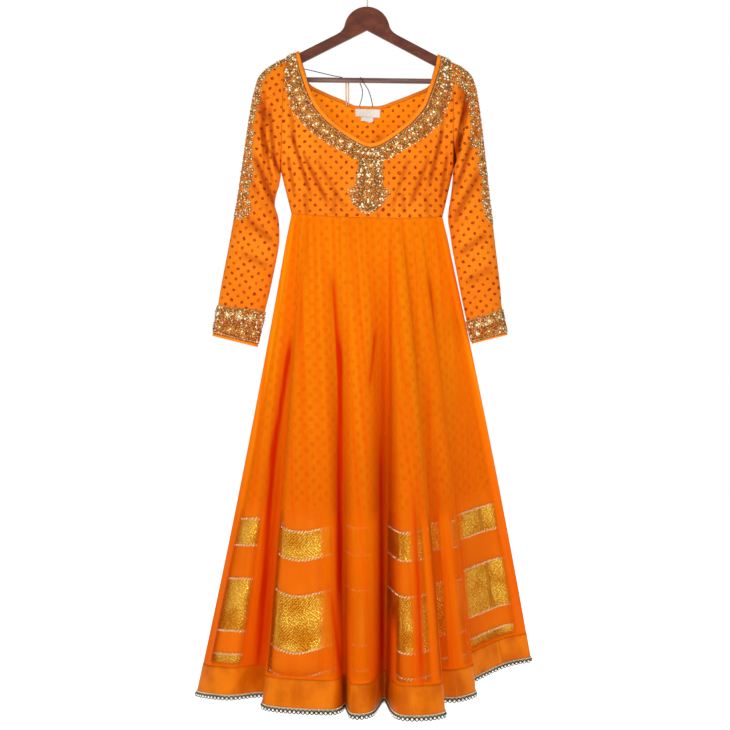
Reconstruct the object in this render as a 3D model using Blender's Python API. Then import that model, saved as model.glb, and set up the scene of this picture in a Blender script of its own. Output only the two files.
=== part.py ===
"""Anarkali gown on a wooden hanger, as solids.

Metres, +Z up. The gown faces -Y and its left sleeve in these names is the one at -X.
The origin is the inside top of the hanger's hook, where a rail carries it.
Cloth is a wall: a grid of points on its outer face, and the same grid moved inwards.
"""

import math

import bpy
import numpy as np

# Gaps and walls
SEAM_GAP = 0.0003
CLOTH_WALL = 0.0012
NET_WALL = 0.0010
LINING_WALL = 0.0010
BAND_WALL = 0.0010
EMBROIDERY_WALL = 0.0016
BINDING_WALL = 0.0012
SATIN_WALL = 0.0013
TRIM_WALL = 0.0022
TAG_WALL = 0.0010

# Hanger
HOOK_WIRE = 0.004
HOOK_BEND = 0.022
HOOK_STEM_FOOT = -0.0817
YOKE_THICKNESS = 0.012
YOKE_ROUNDING = 0.004
DOME_RADIUS = 0.0475
DOME_Z = -0.1295
APEX_Z = -0.131
ARM_SLOPE = 0.516
ARM_RISE = 0.0231
ARM_REACH = 0.2040
ARM_END_ROUND = 0.012
HANG_TILT = 0.012
BAR_RADIUS = 0.0055
BAR_Z = -0.2363
BAR_REACH = 0.1985

# Bodice
CLOTH_OVER_ARM = 0.0038
SHOULDER_X = 0.145
SHOULDER_ROLL = 0.012
CHEST_DROP = 0.090
CHEST_DEPTH_FRONT = 0.044
CHEST_DEPTH_BACK = 0.036
ARMHOLE_DEPTH = 0.031
TIP_LEFT = 0.172
TIP_RIGHT = 0.179
UNDERARM_HALF = 0.1806
UNDERARM_Z = -0.428
WAIST_HALF = 0.1585
WAIST_DEPTH = 0.040
WAIST_Z = -0.5195
WAIST_TILT = 0.0035
WAIST_DIP_FRONT = 0.0085
WAIST_DIP_BACK = 0.0025
BINDING_WIDTH = 0.009
BACK_BAND_WIDTH = 0.008
BORDER_ROWS = (0.45, 1.0)
FRONT_ROWS = (0.34, 0.68)
TAB_FOOT = 0.92
TAB_ROUND = 0.14
TAB_HALF = 0.040
BACK_ROWS = (0.069, 0.130, 0.34, 0.60, 0.80, 1.0)

# Skirt
HEM_Z = -1.530
SKIRT_SWAY = 0.006
LINING_TUCK_WAIST = 0.0018
LINING_TUCK_HEM = 0.009
MITRE_LIMIT = 0.35
LINING_ROWS = (0.0, 0.20, 0.42, 0.632, 0.686, 0.755, 0.862, 0.910, 0.928)
NET_ROWS = (0.0, 0.20, 0.42, 0.632, 0.79, 0.9345)
HEM_ROWS = (0.9348, 0.992, 1.0)

# Sleeves
SLEEVE_SIDE_POINTS = 10
CUFF_ROWS = (0.5, 0.90, 1.0)


def shoulder_line(x):
    """Height of the cloth's top over a level hanger's arm, at a distance x from the middle."""
    return APEX_Z + ARM_RISE + CLOTH_OVER_ARM - ARM_SLOPE * abs(x)


# Neck and outline of the front, half of it, from the shoulder seam to the middle.
# outline runs 0 to 1 down the armhole, 1 to 2 down the side seam, 2 to 3 along the waist.
# neck_x, neck_z, border_x, border_z, outline, lean
FRONT_STATIONS = (
    (0.1450, shoulder_line(0.1450), 0.1710, shoulder_line(0.1710), 0.000, 0.0030),
    (0.1444, shoulder_line(0.1444) - 0.005, 0.1716, shoulder_line(0.1716) - 0.005, 0.022, 0.0030),
    (0.1428, shoulder_line(0.1428) - 0.014, 0.1722, shoulder_line(0.1722) - 0.015, 0.065, 0.0032),
    (0.1376, -0.2140, 0.1728, -0.2346, 0.180, 0.0035),
    (0.1304, -0.2370, 0.1700, -0.2640, 0.330, 0.0035),
    (0.1239, -0.2578, 0.1600, -0.2963, 0.500, 0.0035),
    (0.1090, -0.2916, 0.1460, -0.3244, 0.720, 0.0045),
    (0.0840, -0.3226, 0.1180, -0.3530, 1.000, 0.0050),
    (0.0544, -0.3471, 0.0854, -0.3757, 2.000, 0.0060),
    (0.0360, -0.3590, 0.0560, -0.3925, 2.450, 0.0070),
    (0.0220, -0.3675, 0.0310, -0.4065, 2.748, 0.0080),
    (0.0100, -0.3725, 0.0155, -0.4095, 2.875, 0.0082),
    (0.0000, -0.3743, 0.0000, -0.4105, 3.000, 0.0082),
)

# Neck of the back, half of it, with the same outline.
# neck_x, neck_z, outline, lean
BACK_STATIONS = (
    (0.1450, shoulder_line(0.1450), 0.000, 0.0030),
    (0.1444, shoulder_line(0.1444) - 0.005, 0.022, 0.0030),
    (0.1420, shoulder_line(0.1420) - 0.014, 0.065, 0.0032),
    (0.1350, -0.2150, 0.200, 0.0040),
    (0.1255, -0.2400, 0.450, 0.0045),
    (0.0890, -0.2580, 1.000, 0.0045),
    (0.0500, -0.2735, 2.000, 0.0040),
    (0.0276, -0.2825, 2.600, 0.0018),
    (0.0000, -0.2840, 3.000, 0.0018),
)

# Folds of the skirt at the hem, from the left side round the front, the right and the back.
# Each fold has a crest from start to end and then a valley. seat is the valley's place
# at the waist, in degrees from the front's middle. lift is how far the hem hangs high.
# start_x, start_y, end_x, end_y, start_lift, end_lift, valley_x, valley_y, seat
SKIRT_FOLDS = (
    (-0.360, 0.020, -0.292, -0.050, 0.000, 0.006, -0.212, -0.012, -66.0),
    (-0.205, -0.112, -0.072, -0.150, 0.000, 0.000, -0.045, -0.092, -28.8),
    (-0.030, -0.172, 0.008, -0.165, -0.002, 0.000, 0.036, -0.038, 13.2),
    (0.064, -0.182, 0.152, -0.165, -0.002, -0.002, 0.140, -0.045, 30.0),
    (0.190, -0.040, 0.228, 0.002, 0.000, 0.003, 0.206, 0.072, 49.0),
    (0.300, 0.150, 0.364, 0.172, 0.030, 0.041, 0.278, 0.222, 98.0),
    (0.262, 0.268, 0.205, 0.260, 0.026, 0.018, 0.174, 0.155, 126.0),
    (0.130, 0.228, 0.065, 0.236, 0.016, 0.012, 0.048, 0.140, 152.0),
    (0.008, 0.226, -0.055, 0.228, 0.010, 0.010, -0.070, 0.135, 180.0),
    (-0.112, 0.216, -0.166, 0.202, 0.010, 0.010, -0.165, 0.115, 207.0),
    (-0.232, 0.186, -0.272, 0.158, 0.012, 0.010, -0.222, 0.086, 233.0),
    (-0.326, 0.128, -0.346, 0.092, 0.008, 0.004, -0.268, 0.046, 255.0),
)
FIRST_SEAT = -105.0
CREST_STEPS = 2
FLANK_STEPS = 3
RISE_STEPS = 2

# Sections of the sleeves, from the armhole to the wrist. Each is spanned from the outer
# line to the underarm line. fold_at is where a deep crease crosses the front of it.
# outer_x, outer_z, under_x, under_z, half_depth, fold_at, fold_depth
SLEEVE_LEFT_SECTIONS = (
    (-0.1995, -0.2048, -0.1817, -0.4410, 0.036, 0.25, 0.003),
    (-0.2247, -0.2268, -0.1848, -0.4578, 0.038, 0.37, 0.009),
    (-0.2373, -0.2625, -0.1911, -0.4788, 0.039, 0.55, 0.011),
    (-0.2478, -0.3192, -0.1932, -0.4998, 0.039, 0.68, 0.008),
    (-0.2604, -0.4032, -0.1858, -0.5271, 0.037, 0.76, 0.003),
    (-0.2730, -0.4872, -0.1840, -0.5712, 0.033, 0.76, 0.0),
    (-0.2898, -0.5817, -0.1911, -0.6174, 0.029, 0.76, 0.0),
    (-0.3066, -0.6699, -0.2048, -0.6825, 0.026, 0.76, 0.0),
    (-0.3129, -0.7088, -0.2142, -0.7214, 0.024, 0.76, 0.0),
    (-0.3234, -0.7728, -0.2310, -0.7959, 0.022, 0.76, 0.0),
)
SLEEVE_RIGHT_SECTIONS = (
    (0.2016, -0.2103, 0.1795, -0.4557, 0.036, 0.72, 0.003),
    (0.2205, -0.2300, 0.1750, -0.4872, 0.038, 0.30, 0.007),
    (0.2310, -0.2625, 0.1710, -0.5124, 0.039, 0.12, 0.004),
    (0.2394, -0.3192, 0.1705, -0.5334, 0.038, 0.12, 0.0),
    (0.2478, -0.3927, 0.1742, -0.5544, 0.035, 0.12, 0.0),
    (0.2583, -0.4872, 0.1795, -0.5922, 0.031, 0.12, 0.0),
    (0.2688, -0.5775, 0.1874, -0.6342, 0.027, 0.12, 0.0),
    (0.2793, -0.6657, 0.1978, -0.6888, 0.024, 0.12, 0.0),
    (0.2835, -0.7161, 0.2092, -0.7413, 0.022, 0.12, 0.0),
    (0.2940, -0.7707, 0.2218, -0.7890, 0.020, 0.12, 0.0),
)
CREASE_WIDTH = 0.10

# Hanging loop, behind the bar
LOOP_X = -0.0415
LOOP_FOOT = (0.0322, -0.2850)
LOOP_HEAD = (0.0068, -0.2345)
LOOP_TAPE = 0.003
LOOP_TURN = 0.0025

# Threads between the neckline and the bar
THREAD_RADIUS = 0.0004
THREAD_LEFT_ROUTE = (
    (-0.1316, -0.0255, -0.2172),
    (-0.1120, -0.0200, -0.2205),
    (-0.0960, -0.0140, -0.2232),
    (-0.0800, -0.0085, -0.2258),
    (-0.0660, -0.0035, -0.2280),
    (-0.0520, 0.0000, -0.2296),
)
THREAD_BACK_ROUTE = (
    (-0.0157, 0.0330, -0.2842),
    (-0.0140, 0.0290, -0.2785),
    (-0.0110, 0.0220, -0.2700),
    (-0.0093, 0.0145, -0.2585),
    (-0.0112, 0.0098, -0.2485),
    (-0.0142, 0.0080, -0.2420),
    (-0.0150, 0.0062, -0.2340),
    (-0.0135, 0.0000, -0.2298),
    (-0.0115, -0.0062, -0.2335),
    (-0.0090, -0.0066, -0.2400),
    (-0.0040, -0.0030, -0.2462),
    (0.0020, 0.0030, -0.2540),
    (0.0066, 0.0120, -0.2645),
    (0.0100, 0.0220, -0.2750),
    (0.0121, 0.0330, -0.2850),
)
THREAD_STEPS = 2


# ---------------------------------------------------------------- curves and grids

def spline(rows, steps):
    """Catmull-Rom curve through the rows of a table, steps points to each stretch."""
    table = np.array(rows, dtype=float)
    before = np.vstack([2 * table[:1] - table[1:2], table[:-1]])
    after = np.vstack([table[1:], 2 * table[-1:] - table[-2:-1]])
    slope = (after - before) / 2
    points = []
    for index in range(len(table) - 1):
        for step in range(steps):
            points.append(hermite(table[index], table[index + 1], slope[index],
                                  slope[index + 1], step / steps))
    points.append(table[-1])
    return np.array(points)


def hermite(start, end, start_slope, end_slope, t):
    """Point at t on the cubic that has these ends and slopes."""
    return ((2 * t ** 3 - 3 * t ** 2 + 1) * start + (t ** 3 - 2 * t ** 2 + t) * start_slope
            + (3 * t ** 2 - 2 * t ** 3) * end + (t ** 3 - t ** 2) * end_slope)


def smooth(t):
    """0 to 1 with flat ends."""
    t = np.clip(t, 0.0, 1.0)
    return t * t * (3 - 2 * t)


def outward(grid, ring):
    """Unit normals of a grid whose rows run down and whose columns run left to right."""
    if ring:
        across = np.roll(grid, -1, axis=1) - np.roll(grid, 1, axis=1)
    else:
        across = np.gradient(grid, axis=1)
    down = np.gradient(grid, axis=0)
    normals = np.cross(down, across)
    return normals / np.linalg.norm(normals, axis=2, keepdims=True)


def moved_out(grid, distance, ring=False):
    """The grid moved along its normals, outwards where distance is positive."""
    return grid + outward(grid, ring) * distance


def trimmed(grid, top=0.0, foot=0.0):
    """The grid with its first and last rows drawn in along the columns."""
    result = grid.copy()
    for edge, inner, amount in ((0, 1, top), (-1, -2, foot)):
        way = grid[inner] - grid[edge]
        result[edge] += way / np.linalg.norm(way, axis=1, keepdims=True) * amount
    return result


# ---------------------------------------------------------------- objects

def look(name, colour, roughness, metallic=0.0):
    """A Principled material."""
    material = bpy.data.materials.new(name)
    material.use_nodes = True
    shader = material.node_tree.nodes["Principled BSDF"]
    shader.inputs["Base Color"].default_value = (*colour, 1.0)
    shader.inputs["Roughness"].default_value = roughness
    shader.inputs["Metallic"].default_value = metallic
    return material


def add_mesh(name, points, faces, material):
    """A mesh object with one material and smooth shading up to 40 degrees."""
    mesh = bpy.data.meshes.new(name)
    mesh.from_pydata([tuple(point) for point in points], [], faces)
    mesh.materials.append(material)
    mesh.shade_smooth()
    mesh.set_sharp_from_angle(angle=math.radians(40))
    shape = bpy.data.objects.new(name, mesh)
    bpy.context.scene.collection.objects.link(shape)
    return shape


def wall(name, outer, inner, material, ring=False):
    """A closed wall between two grids of the same size, all in triangles."""
    rows, columns = outer.shape[:2]
    layer = rows * columns
    points = np.concatenate([outer.reshape(-1, 3), inner.reshape(-1, 3)])
    spans = columns if ring else columns - 1
    faces = []

    def quad(a, b, c, d):
        faces.extend(((a, b, c), (a, c, d)))

    def at(row, column):
        return row * columns + column % columns

    for row in range(rows - 1):
        for column in range(spans):
            a, b = at(row, column), at(row + 1, column)
            c, d = at(row + 1, column + 1), at(row, column + 1)
            quad(a, b, c, d)
            faces.extend(((layer + a, layer + c, layer + b), (layer + a, layer + d, layer + c)))
    for column in range(spans):
        a, b = at(0, column), at(0, column + 1)
        quad(a, b, layer + b, layer + a)
        a, b = at(rows - 1, column), at(rows - 1, column + 1)
        quad(b, a, layer + a, layer + b)
    if not ring:
        for row in range(rows - 1):
            a, b = at(row, 0), at(row + 1, 0)
            quad(b, a, layer + a, layer + b)
            a, b = at(row, columns - 1), at(row + 1, columns - 1)
            quad(a, b, layer + b, layer + a)
    return add_mesh(name, points, faces, material)


def cloth(name, grid, thickness, material, ring=False):
    """Cloth whose outer face is the grid."""
    return wall(name, grid, moved_out(grid, -thickness, ring), material, ring)


def applied(name, grid, thickness, material, ring=False):
    """A band or border that lies on the outer face of the cloth the grid belongs to."""
    face = moved_out(grid, SEAM_GAP, ring)
    return wall(name, moved_out(grid, SEAM_GAP + thickness, ring), face, material, ring)


def tube(name, route, radius, resolution, material):
    """A round rod along a route, with filled ends."""
    curve = bpy.data.curves.new(name, "CURVE")
    curve.dimensions = "3D"
    curve.bevel_depth = radius
    curve.bevel_resolution = resolution
    curve.use_fill_caps = True
    line = curve.splines.new("POLY")
    line.points.add(len(route) - 1)
    for point, place in zip(line.points, route):
        point.co = (*place, 1.0)
    curve.materials.append(material)
    rod = bpy.data.objects.new(name, curve)
    bpy.context.scene.collection.objects.link(rod)
    return rod


# ---------------------------------------------------------------- hanger

def arm_under(x):
    """Height of the arms' lower line."""
    return APEX_Z - ARM_SLOPE * abs(x) - HANG_TILT * x


def eased(start, corner, end):
    """Five points on the curve that rounds a corner between two points."""
    return [tuple((1 - t) ** 2 * a + 2 * t * (1 - t) * b + t * t * c
                  for a, b, c in zip(start, corner, end)) for t in (0, 0.25, 0.5, 0.75, 1)]


def yoke_half():
    """Half the yoke's outline, from the top of the dome round the arm's end to the apex."""
    points = []
    for angle in np.radians(np.linspace(90, 14, 9)):
        points.append((DOME_RADIUS * math.cos(angle), DOME_Z + DOME_RADIUS * math.sin(angle)))
    arm_start = DOME_RADIUS * 1.32
    arm_top = APEX_Z + ARM_RISE
    corner = (DOME_RADIUS * 1.01, arm_top - ARM_SLOPE * DOME_RADIUS)
    arm_point = (arm_start, arm_top - ARM_SLOPE * arm_start)
    dome_point = points[-1]
    points += eased(dome_point, corner, arm_point)[1:]
    end_top = arm_top - ARM_SLOPE * ARM_REACH
    end_foot = APEX_Z - ARM_SLOPE * ARM_REACH
    shoulder = (ARM_REACH - ARM_END_ROUND, end_top + ARM_SLOPE * ARM_END_ROUND)
    side = (ARM_REACH, end_foot + ARM_END_ROUND * 0.6)
    heel = (ARM_REACH - ARM_END_ROUND / 3, end_foot + ARM_SLOPE * ARM_END_ROUND / 3)
    points += eased(shoulder, (ARM_REACH, end_top), side)
    points += eased(side, (ARM_REACH, end_foot), heel)[1:]
    points.append((0.0, APEX_Z))
    return points


def make_yoke(material):
    """The wooden yoke: its outline, thick in Y, with rounded edges."""
    right = yoke_half()
    left = [(-x, z) for x, z in reversed(right[1:-1])]
    outline = [(x, z - HANG_TILT * x) for x, z in right + left]
    count = len(outline)
    half = YOKE_THICKNESS / 2
    points = [(x, -half, z) for x, z in outline] + [(x, half, z) for x, z in outline]
    faces = [tuple(reversed(range(count))), tuple(range(count, 2 * count))]
    for index in range(count):
        following = (index + 1) % count
        faces.append((index, following, count + following, count + index))
    yoke = add_mesh("hanger_yoke", points, faces, material)
    bevel = yoke.modifiers.new("rounded edges", "BEVEL")
    bevel.width = YOKE_ROUNDING
    bevel.segments = 2
    bevel.limit_method = "ANGLE"
    bevel.angle_limit = math.radians(60)
    return yoke


def make_bar(material):
    """The round bar, cut at both ends to the slope of the arms that it runs into."""
    sides = 12
    ends = []
    for side in (-1, 1):
        for step in range(sides):
            angle = 2 * math.pi * step / sides
            y = BAR_RADIUS * math.cos(angle)
            rise = BAR_RADIUS * math.sin(angle)
            reach = (APEX_Z - BAR_Z - rise) / ARM_SLOPE - 3 * SEAM_GAP
            x = side * min(reach, BAR_REACH)
            ends.append((x, y, BAR_Z + rise - HANG_TILT * x))
    faces = [tuple(reversed(range(sides))), tuple(range(sides, 2 * sides))]
    for step in range(sides):
        following = (step + 1) % sides
        faces.append((step, following, sides + following, sides + step))
    return add_mesh("hanger_bar", ends, faces, material)


def make_hook(material):
    """The wire hook: a straight stem, an easy bend, then a round turn over the rail."""
    radius = HOOK_BEND + HOOK_WIRE / 2
    start_angle = math.radians(-58)
    turn = [(radius * math.cos(angle), 0.0, radius * math.sin(angle) - HOOK_BEND)
            for angle in np.linspace(start_angle, math.radians(196), 22)]
    stem_foot = np.array((0.0, 0.0, HOOK_STEM_FOOT))
    stem_head = np.array((0.0, 0.0, HOOK_STEM_FOOT + 0.014))
    turn_start = np.array(turn[0])
    stem_slope = np.array((0.0, 0.0, 0.030))
    turn_slope = np.array((-math.sin(start_angle), 0.0, math.cos(start_angle))) * 0.026
    bend = [hermite(stem_head, turn_start, stem_slope, turn_slope, t)
            for t in np.linspace(0, 1, 8)[:-1]]
    return tube("hanger_hook", [stem_foot, *bend, *turn], HOOK_WIRE / 2, 2, material)


# ---------------------------------------------------------------- bodice

def armhole_tip(right):
    """Distance of the shoulder's end from the middle, and its height, on each side."""
    reach = np.where(right, TIP_RIGHT, TIP_LEFT)
    sign = np.where(right, 1.0, -1.0)
    height = APEX_Z + ARM_RISE + CLOTH_OVER_ARM - ARM_SLOPE * reach - HANG_TILT * reach * sign
    return reach, height


def bodice_half_width(x, z):
    """Distance of the armhole or the side seam from the middle at a height."""
    reach, tip_z = armhole_tip(x > 0)
    down = np.clip((tip_z - z) / (tip_z - UNDERARM_Z), 0, 1)
    upper = reach + (UNDERARM_HALF - reach) * down
    seam = np.clip((UNDERARM_Z - z) / (UNDERARM_Z - WAIST_Z), 0, None)
    return np.where(z > UNDERARM_Z, upper, UNDERARM_HALF + (WAIST_HALF - UNDERARM_HALF) * seam)


def shoulder_roll(drop):
    """How far the cloth has come forward at a drop below the shoulder's line."""
    return SHOULDER_ROLL * np.sqrt(1 - (1 - np.minimum(drop / SHOULDER_ROLL, 1)) ** 2)


def armhole_depth(x, z):
    """Half the width of the armhole at a height, seen from the side: an oval, and rolled
    over the arm at its top."""
    _, tip_z = armhole_tip(x > 0)
    down = np.clip((tip_z - z) / (tip_z - UNDERARM_Z), 0, 1)
    oval = ARMHOLE_DEPTH * 2 * np.sqrt(down * (1 - down))
    rolled = shoulder_roll(np.maximum(shoulder_line_at(x) - z, 0))
    return np.where(down < 0.5, np.maximum(oval, rolled), oval)


def bodice_depth(x, z, chest):
    """Distance of the cloth from the hanger's plane: it rolls over the arm, falls forward
    to the chest, and closes at the armhole and the side seam."""
    drop = np.maximum(shoulder_line_at(x) - z, 0)
    low = smooth((UNDERARM_Z - z) / (UNDERARM_Z - WAIST_Z))
    full = chest + (WAIST_DEPTH - chest) * low
    middle = shoulder_roll(drop) + (full - SHOULDER_ROLL) * smooth(drop / CHEST_DROP)
    edge = armhole_depth(x, z)
    across = np.clip(np.abs(x) / bodice_half_width(x, z), 0, 1)
    return edge + (middle - edge) * np.sqrt(1 - across ** 2)


def shoulder_line_at(x):
    """Height of the cloth's top over the hanger's arm, as it hangs."""
    return APEX_Z + ARM_RISE + CLOTH_OVER_ARM - ARM_SLOPE * np.abs(x) - HANG_TILT * x


def waist_height(x, y):
    """Height of the waist seam: it dips in front and a little behind."""
    front = np.clip(-y / WAIST_DEPTH, 0, 1)
    back = np.clip(y / WAIST_DEPTH, 0, 1)
    return (WAIST_Z - WAIST_TILT * x / WAIST_HALF
            - WAIST_DIP_FRONT * front ** 2 - WAIST_DIP_BACK * back ** 2)


def outline_place(sign, along, facing):
    """x and z at a place on the armhole (0-1), the side seam (1-2) or the waist (2-3)."""
    reach, tip_z = armhole_tip(sign > 0)
    corner_z = waist_height(sign * WAIST_HALF, 0.0)
    waist_x = WAIST_HALF * np.clip(3 - along, 0, 1)
    waist_y = facing * WAIST_DEPTH * np.sqrt(1 - (waist_x / WAIST_HALF) ** 2)
    armhole = np.clip(along, 0, 1)
    seam = np.clip(along - 1, 0, 1)
    x = np.where(along <= 1, reach + (UNDERARM_HALF - reach) * armhole,
                 np.where(along <= 2, UNDERARM_HALF + (WAIST_HALF - UNDERARM_HALF) * seam, waist_x))
    z = np.where(along <= 1, tip_z + (UNDERARM_Z - tip_z) * armhole,
                 np.where(along <= 2, UNDERARM_Z + (corner_z - UNDERARM_Z) * seam,
                          waist_height(sign * waist_x, waist_y)))
    return np.stack([sign * x, z], axis=-1)


def whole_table(stations, steps):
    """A half table made fine and mirrored: the columns, and -1 or +1 for the side of each."""
    half = spline(stations, steps)
    sign = np.concatenate([-np.ones(len(half)), np.ones(len(half) - 1)])
    return np.vstack([half, half[-2::-1]]), sign


def leaned(sign, x, z, lean):
    """A point of a half table, on its side, leaned and tilted as the gown hangs. Near the
    shoulder it leans along the slope of the arm."""
    place = sign * x + lean
    near_shoulder = np.clip(x / SHOULDER_X, 0, 1) ** 6
    height = z - ARM_SLOPE * sign * lean * near_shoulder
    return np.stack([place, height - HANG_TILT * place], axis=-1)


def stood_out(flat, facing, chest):
    """Gives rows of x and z their depth, in front (-1) or behind (+1)."""
    x, z = flat[..., 0], flat[..., 1]
    y = facing * (SEAM_GAP / 2 + bodice_depth(x, z, chest))
    return np.stack([x, y, z], axis=-1)


def toward(start, end, distance):
    """Points a distance from start on the way to end."""
    way = end - start
    return start + way / np.linalg.norm(way, axis=1, keepdims=True) * distance


def front_grid(steps=2):
    """Rows: neck edge, binding's edge, border, two between, the tab's foot, the outline."""
    table, sign = whole_table(FRONT_STATIONS, steps)
    neck = leaned(sign, table[:, 0], table[:, 1], table[:, 5])
    border = leaned(sign, table[:, 2], table[:, 3], table[:, 5])
    outline = outline_place(sign, table[:, 4], -1)
    binding = toward(neck, border, BINDING_WIDTH)
    rows = [neck, binding]
    rows += [binding + (border - binding) * share for share in BORDER_ROWS]
    rows += [border + (outline - border) * share for share in FRONT_ROWS]
    spread = np.abs(outline[:, :1]) / TAB_HALF
    foot = TAB_FOOT - TAB_ROUND * np.clip(spread, 0, 1) ** 2
    rows.append(border + (outline - border) * foot)
    rows.append(outline)
    return stood_out(np.array(rows), -1, CHEST_DEPTH_FRONT)


def back_grid(steps=2):
    """Rows: neck edge, band's edge, label's foot, tag's foot, and so on to the outline.
    Its columns run from +X to -X, so that it faces backwards."""
    table, sign = whole_table(BACK_STATIONS, steps)
    neck = leaned(sign, table[:, 0], table[:, 1], table[:, 3])
    outline = outline_place(sign, table[:, 2], 1)
    band = toward(neck, outline, BACK_BAND_WIDTH)
    rows = [neck, band]
    rows += [band + (outline - band) * share for share in BACK_ROWS]
    return stood_out(np.array(rows), 1, CHEST_DEPTH_BACK)[:, ::-1]


def bodice_wall(name, grid, facing, material):
    """Half of the bodice. Its inner face stays on its own side of the seams, and inside
    the plane of the armholes."""
    inner = moved_out(grid, -CLOTH_WALL)
    inner[..., 1] = facing * np.maximum(facing * inner[..., 1], SEAM_GAP / 2)
    limit = bodice_half_width(inner[..., 0], inner[..., 2])
    inner[..., 0] = np.clip(inner[..., 0], -limit, limit)
    return wall(name, grid, inner, material)


def make_bodice(dotted, plain, embroidered, white):
    """Front and back with what is sewn on them."""
    front = front_grid()
    bodice_wall("bodice_front", front, -1, dotted)
    applied("neck_binding", trimmed(front[0:2], foot=SEAM_GAP), BINDING_WALL, plain)
    applied("neck_border", trimmed(front[1:4]), EMBROIDERY_WALL, embroidered)
    middle = front.shape[1] // 2
    tab = slice(middle - 4, middle + 5)
    applied("front_tab", trimmed(front[3:7, tab], top=SEAM_GAP), EMBROIDERY_WALL, embroidered)

    back = back_grid()
    bodice_wall("bodice_back", back, 1, dotted)
    middle = back.shape[1] // 2
    inside = (CLOTH_WALL + SEAM_GAP, CLOTH_WALL + SEAM_GAP + TAG_WALL)
    near, far = (moved_out(back, -depth) for depth in inside)
    ends = slice(6, back.shape[1] - 6)
    wall("back_neck_band", trimmed(near[0:2, ends], foot=SEAM_GAP),
         trimmed(far[0:2, ends], foot=SEAM_GAP), plain)
    cells = slice(middle - 2, middle + 3)
    wall("label", near[1:3, cells], far[1:3, cells], white)
    cells = slice(middle - 1, middle + 2)
    wall("size_tag", trimmed(near[2:4, cells], top=SEAM_GAP),
         trimmed(far[2:4, cells], top=SEAM_GAP), white)


# ---------------------------------------------------------------- sleeves

def ring_places():
    """Places along a sleeve's section, close together at its ends: 0 outer, 1 underarm."""
    return (1 - np.cos(np.linspace(0, math.pi, SLEEVE_SIDE_POINTS + 1))) / 2


def sleeve_grid(sections, right):
    """Rings from the armhole to the wrist. Each ring goes down its front from the outer
    line to the underarm line and up its back."""
    side = 1 if right else -1
    reach, tip_z = armhole_tip(np.bool_(right))
    first = (side * (reach + SEAM_GAP), tip_z, side * (UNDERARM_HALF + SEAM_GAP), UNDERARM_Z,
             ARMHOLE_DEPTH, sections[0][5], 0.0)
    table = np.array((first, *sections), dtype=float)
    wrist = [table[-2] + (table[-1] - table[-2]) * share for share in CUFF_ROWS]
    table = np.vstack([table[:-1], wrist])
    places = ring_places()
    down = places[None, :]
    outer = table[:, None, 0:2]
    under = table[:, None, 2:4]
    line = outer + (under - outer) * down[..., None]
    bulge = 2 * np.sqrt(down * (1 - down)) * table[:, 4:5]
    crease = table[:, 6:7] * np.exp(-((down - table[:, 5:6]) / CREASE_WIDTH) ** 2)
    depth_front = np.where(down * (1 - down) > 0, bulge - crease, 0.0)
    front = np.stack([line[..., 0], -depth_front, line[..., 1]], axis=-1)
    back = np.stack([line[..., 0], bulge, line[..., 1]], axis=-1)
    armhole = armhole_depth(line[0, :, 0] - side * SEAM_GAP, line[0, :, 1])
    front[0, :, 1], back[0, :, 1] = -armhole, armhole
    back = back[:, -2:0:-1]
    if right:
        front, back = front[:, ::-1], back[:, ::-1]
    return np.concatenate([front, back], axis=1)


def make_sleeve(side, grid, dotted, plain, embroidered):
    """A sleeve with its cuff and the binding at the wrist."""
    inner = moved_out(grid, -CLOTH_WALL, ring=True)
    inner[0, :, 0] = grid[0, :, 0]
    wall("sleeve_" + side, grid, inner, dotted, ring=True)
    applied("cuff_" + side, grid[-4:-1], EMBROIDERY_WALL, embroidered, ring=True)
    binding = trimmed(grid[-2:], top=SEAM_GAP)
    applied("cuff_binding_" + side, binding, BINDING_WALL, plain, ring=True)


# ---------------------------------------------------------------- skirt

def hem_knots(tuck):
    """The hem's crests and valleys, as x, y, lift and seat at the waist, drawn inwards by
    the tuck."""
    knots = []
    seat_before = FIRST_SEAT
    for fold in SKIRT_FOLDS:
        start_x, start_y, end_x, end_y, start_lift, end_lift, valley_x, valley_y, seat = fold
        third = (seat - seat_before) / 3
        valley_lift = (start_lift + end_lift) / 2
        knots.append((start_x, start_y, start_lift, seat_before + third))
        knots.append((end_x, end_y, end_lift, seat_before + 2 * third))
        knots.append((valley_x, valley_y, valley_lift, seat))
        seat_before = seat
    knots = np.array(knots)
    knots[:, :2] += inward_mitres(knots[:, :2]) * tuck
    return knots


def inward_mitres(places):
    """For each corner of a closed outline, the way that moves both its sides in by 1."""
    side = np.roll(places, -1, axis=0) - places
    square = np.stack([-side[:, 1], side[:, 0]], axis=-1)
    square /= np.linalg.norm(square, axis=1, keepdims=True)
    before = np.roll(square, 1, axis=0)
    share = 1 + np.sum(square * before, axis=1, keepdims=True)
    mitre = (square + before) / np.maximum(share, MITRE_LIMIT)
    return mitre


def ring_through(knots):
    """Closed Catmull-Rom curve through the knots, with more points where it turns."""
    count = len(knots)
    lap = np.array((0.0, 0.0, 0.0, 360.0))
    steps_of_knot = (CREST_STEPS, FLANK_STEPS, RISE_STEPS)
    points = []
    for index in range(count):
        around = []
        for offset in (-1, 0, 1, 2):
            laps, place = divmod(index + offset, count)
            around.append(knots[place] + lap * laps)
        before, start, end, after = around
        steps = steps_of_knot[index % 3]
        for step in range(steps):
            points.append(hermite(start, end, (end - before) / 2, (after - start) / 2,
                                  step / steps))
    return np.array(points)


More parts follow.
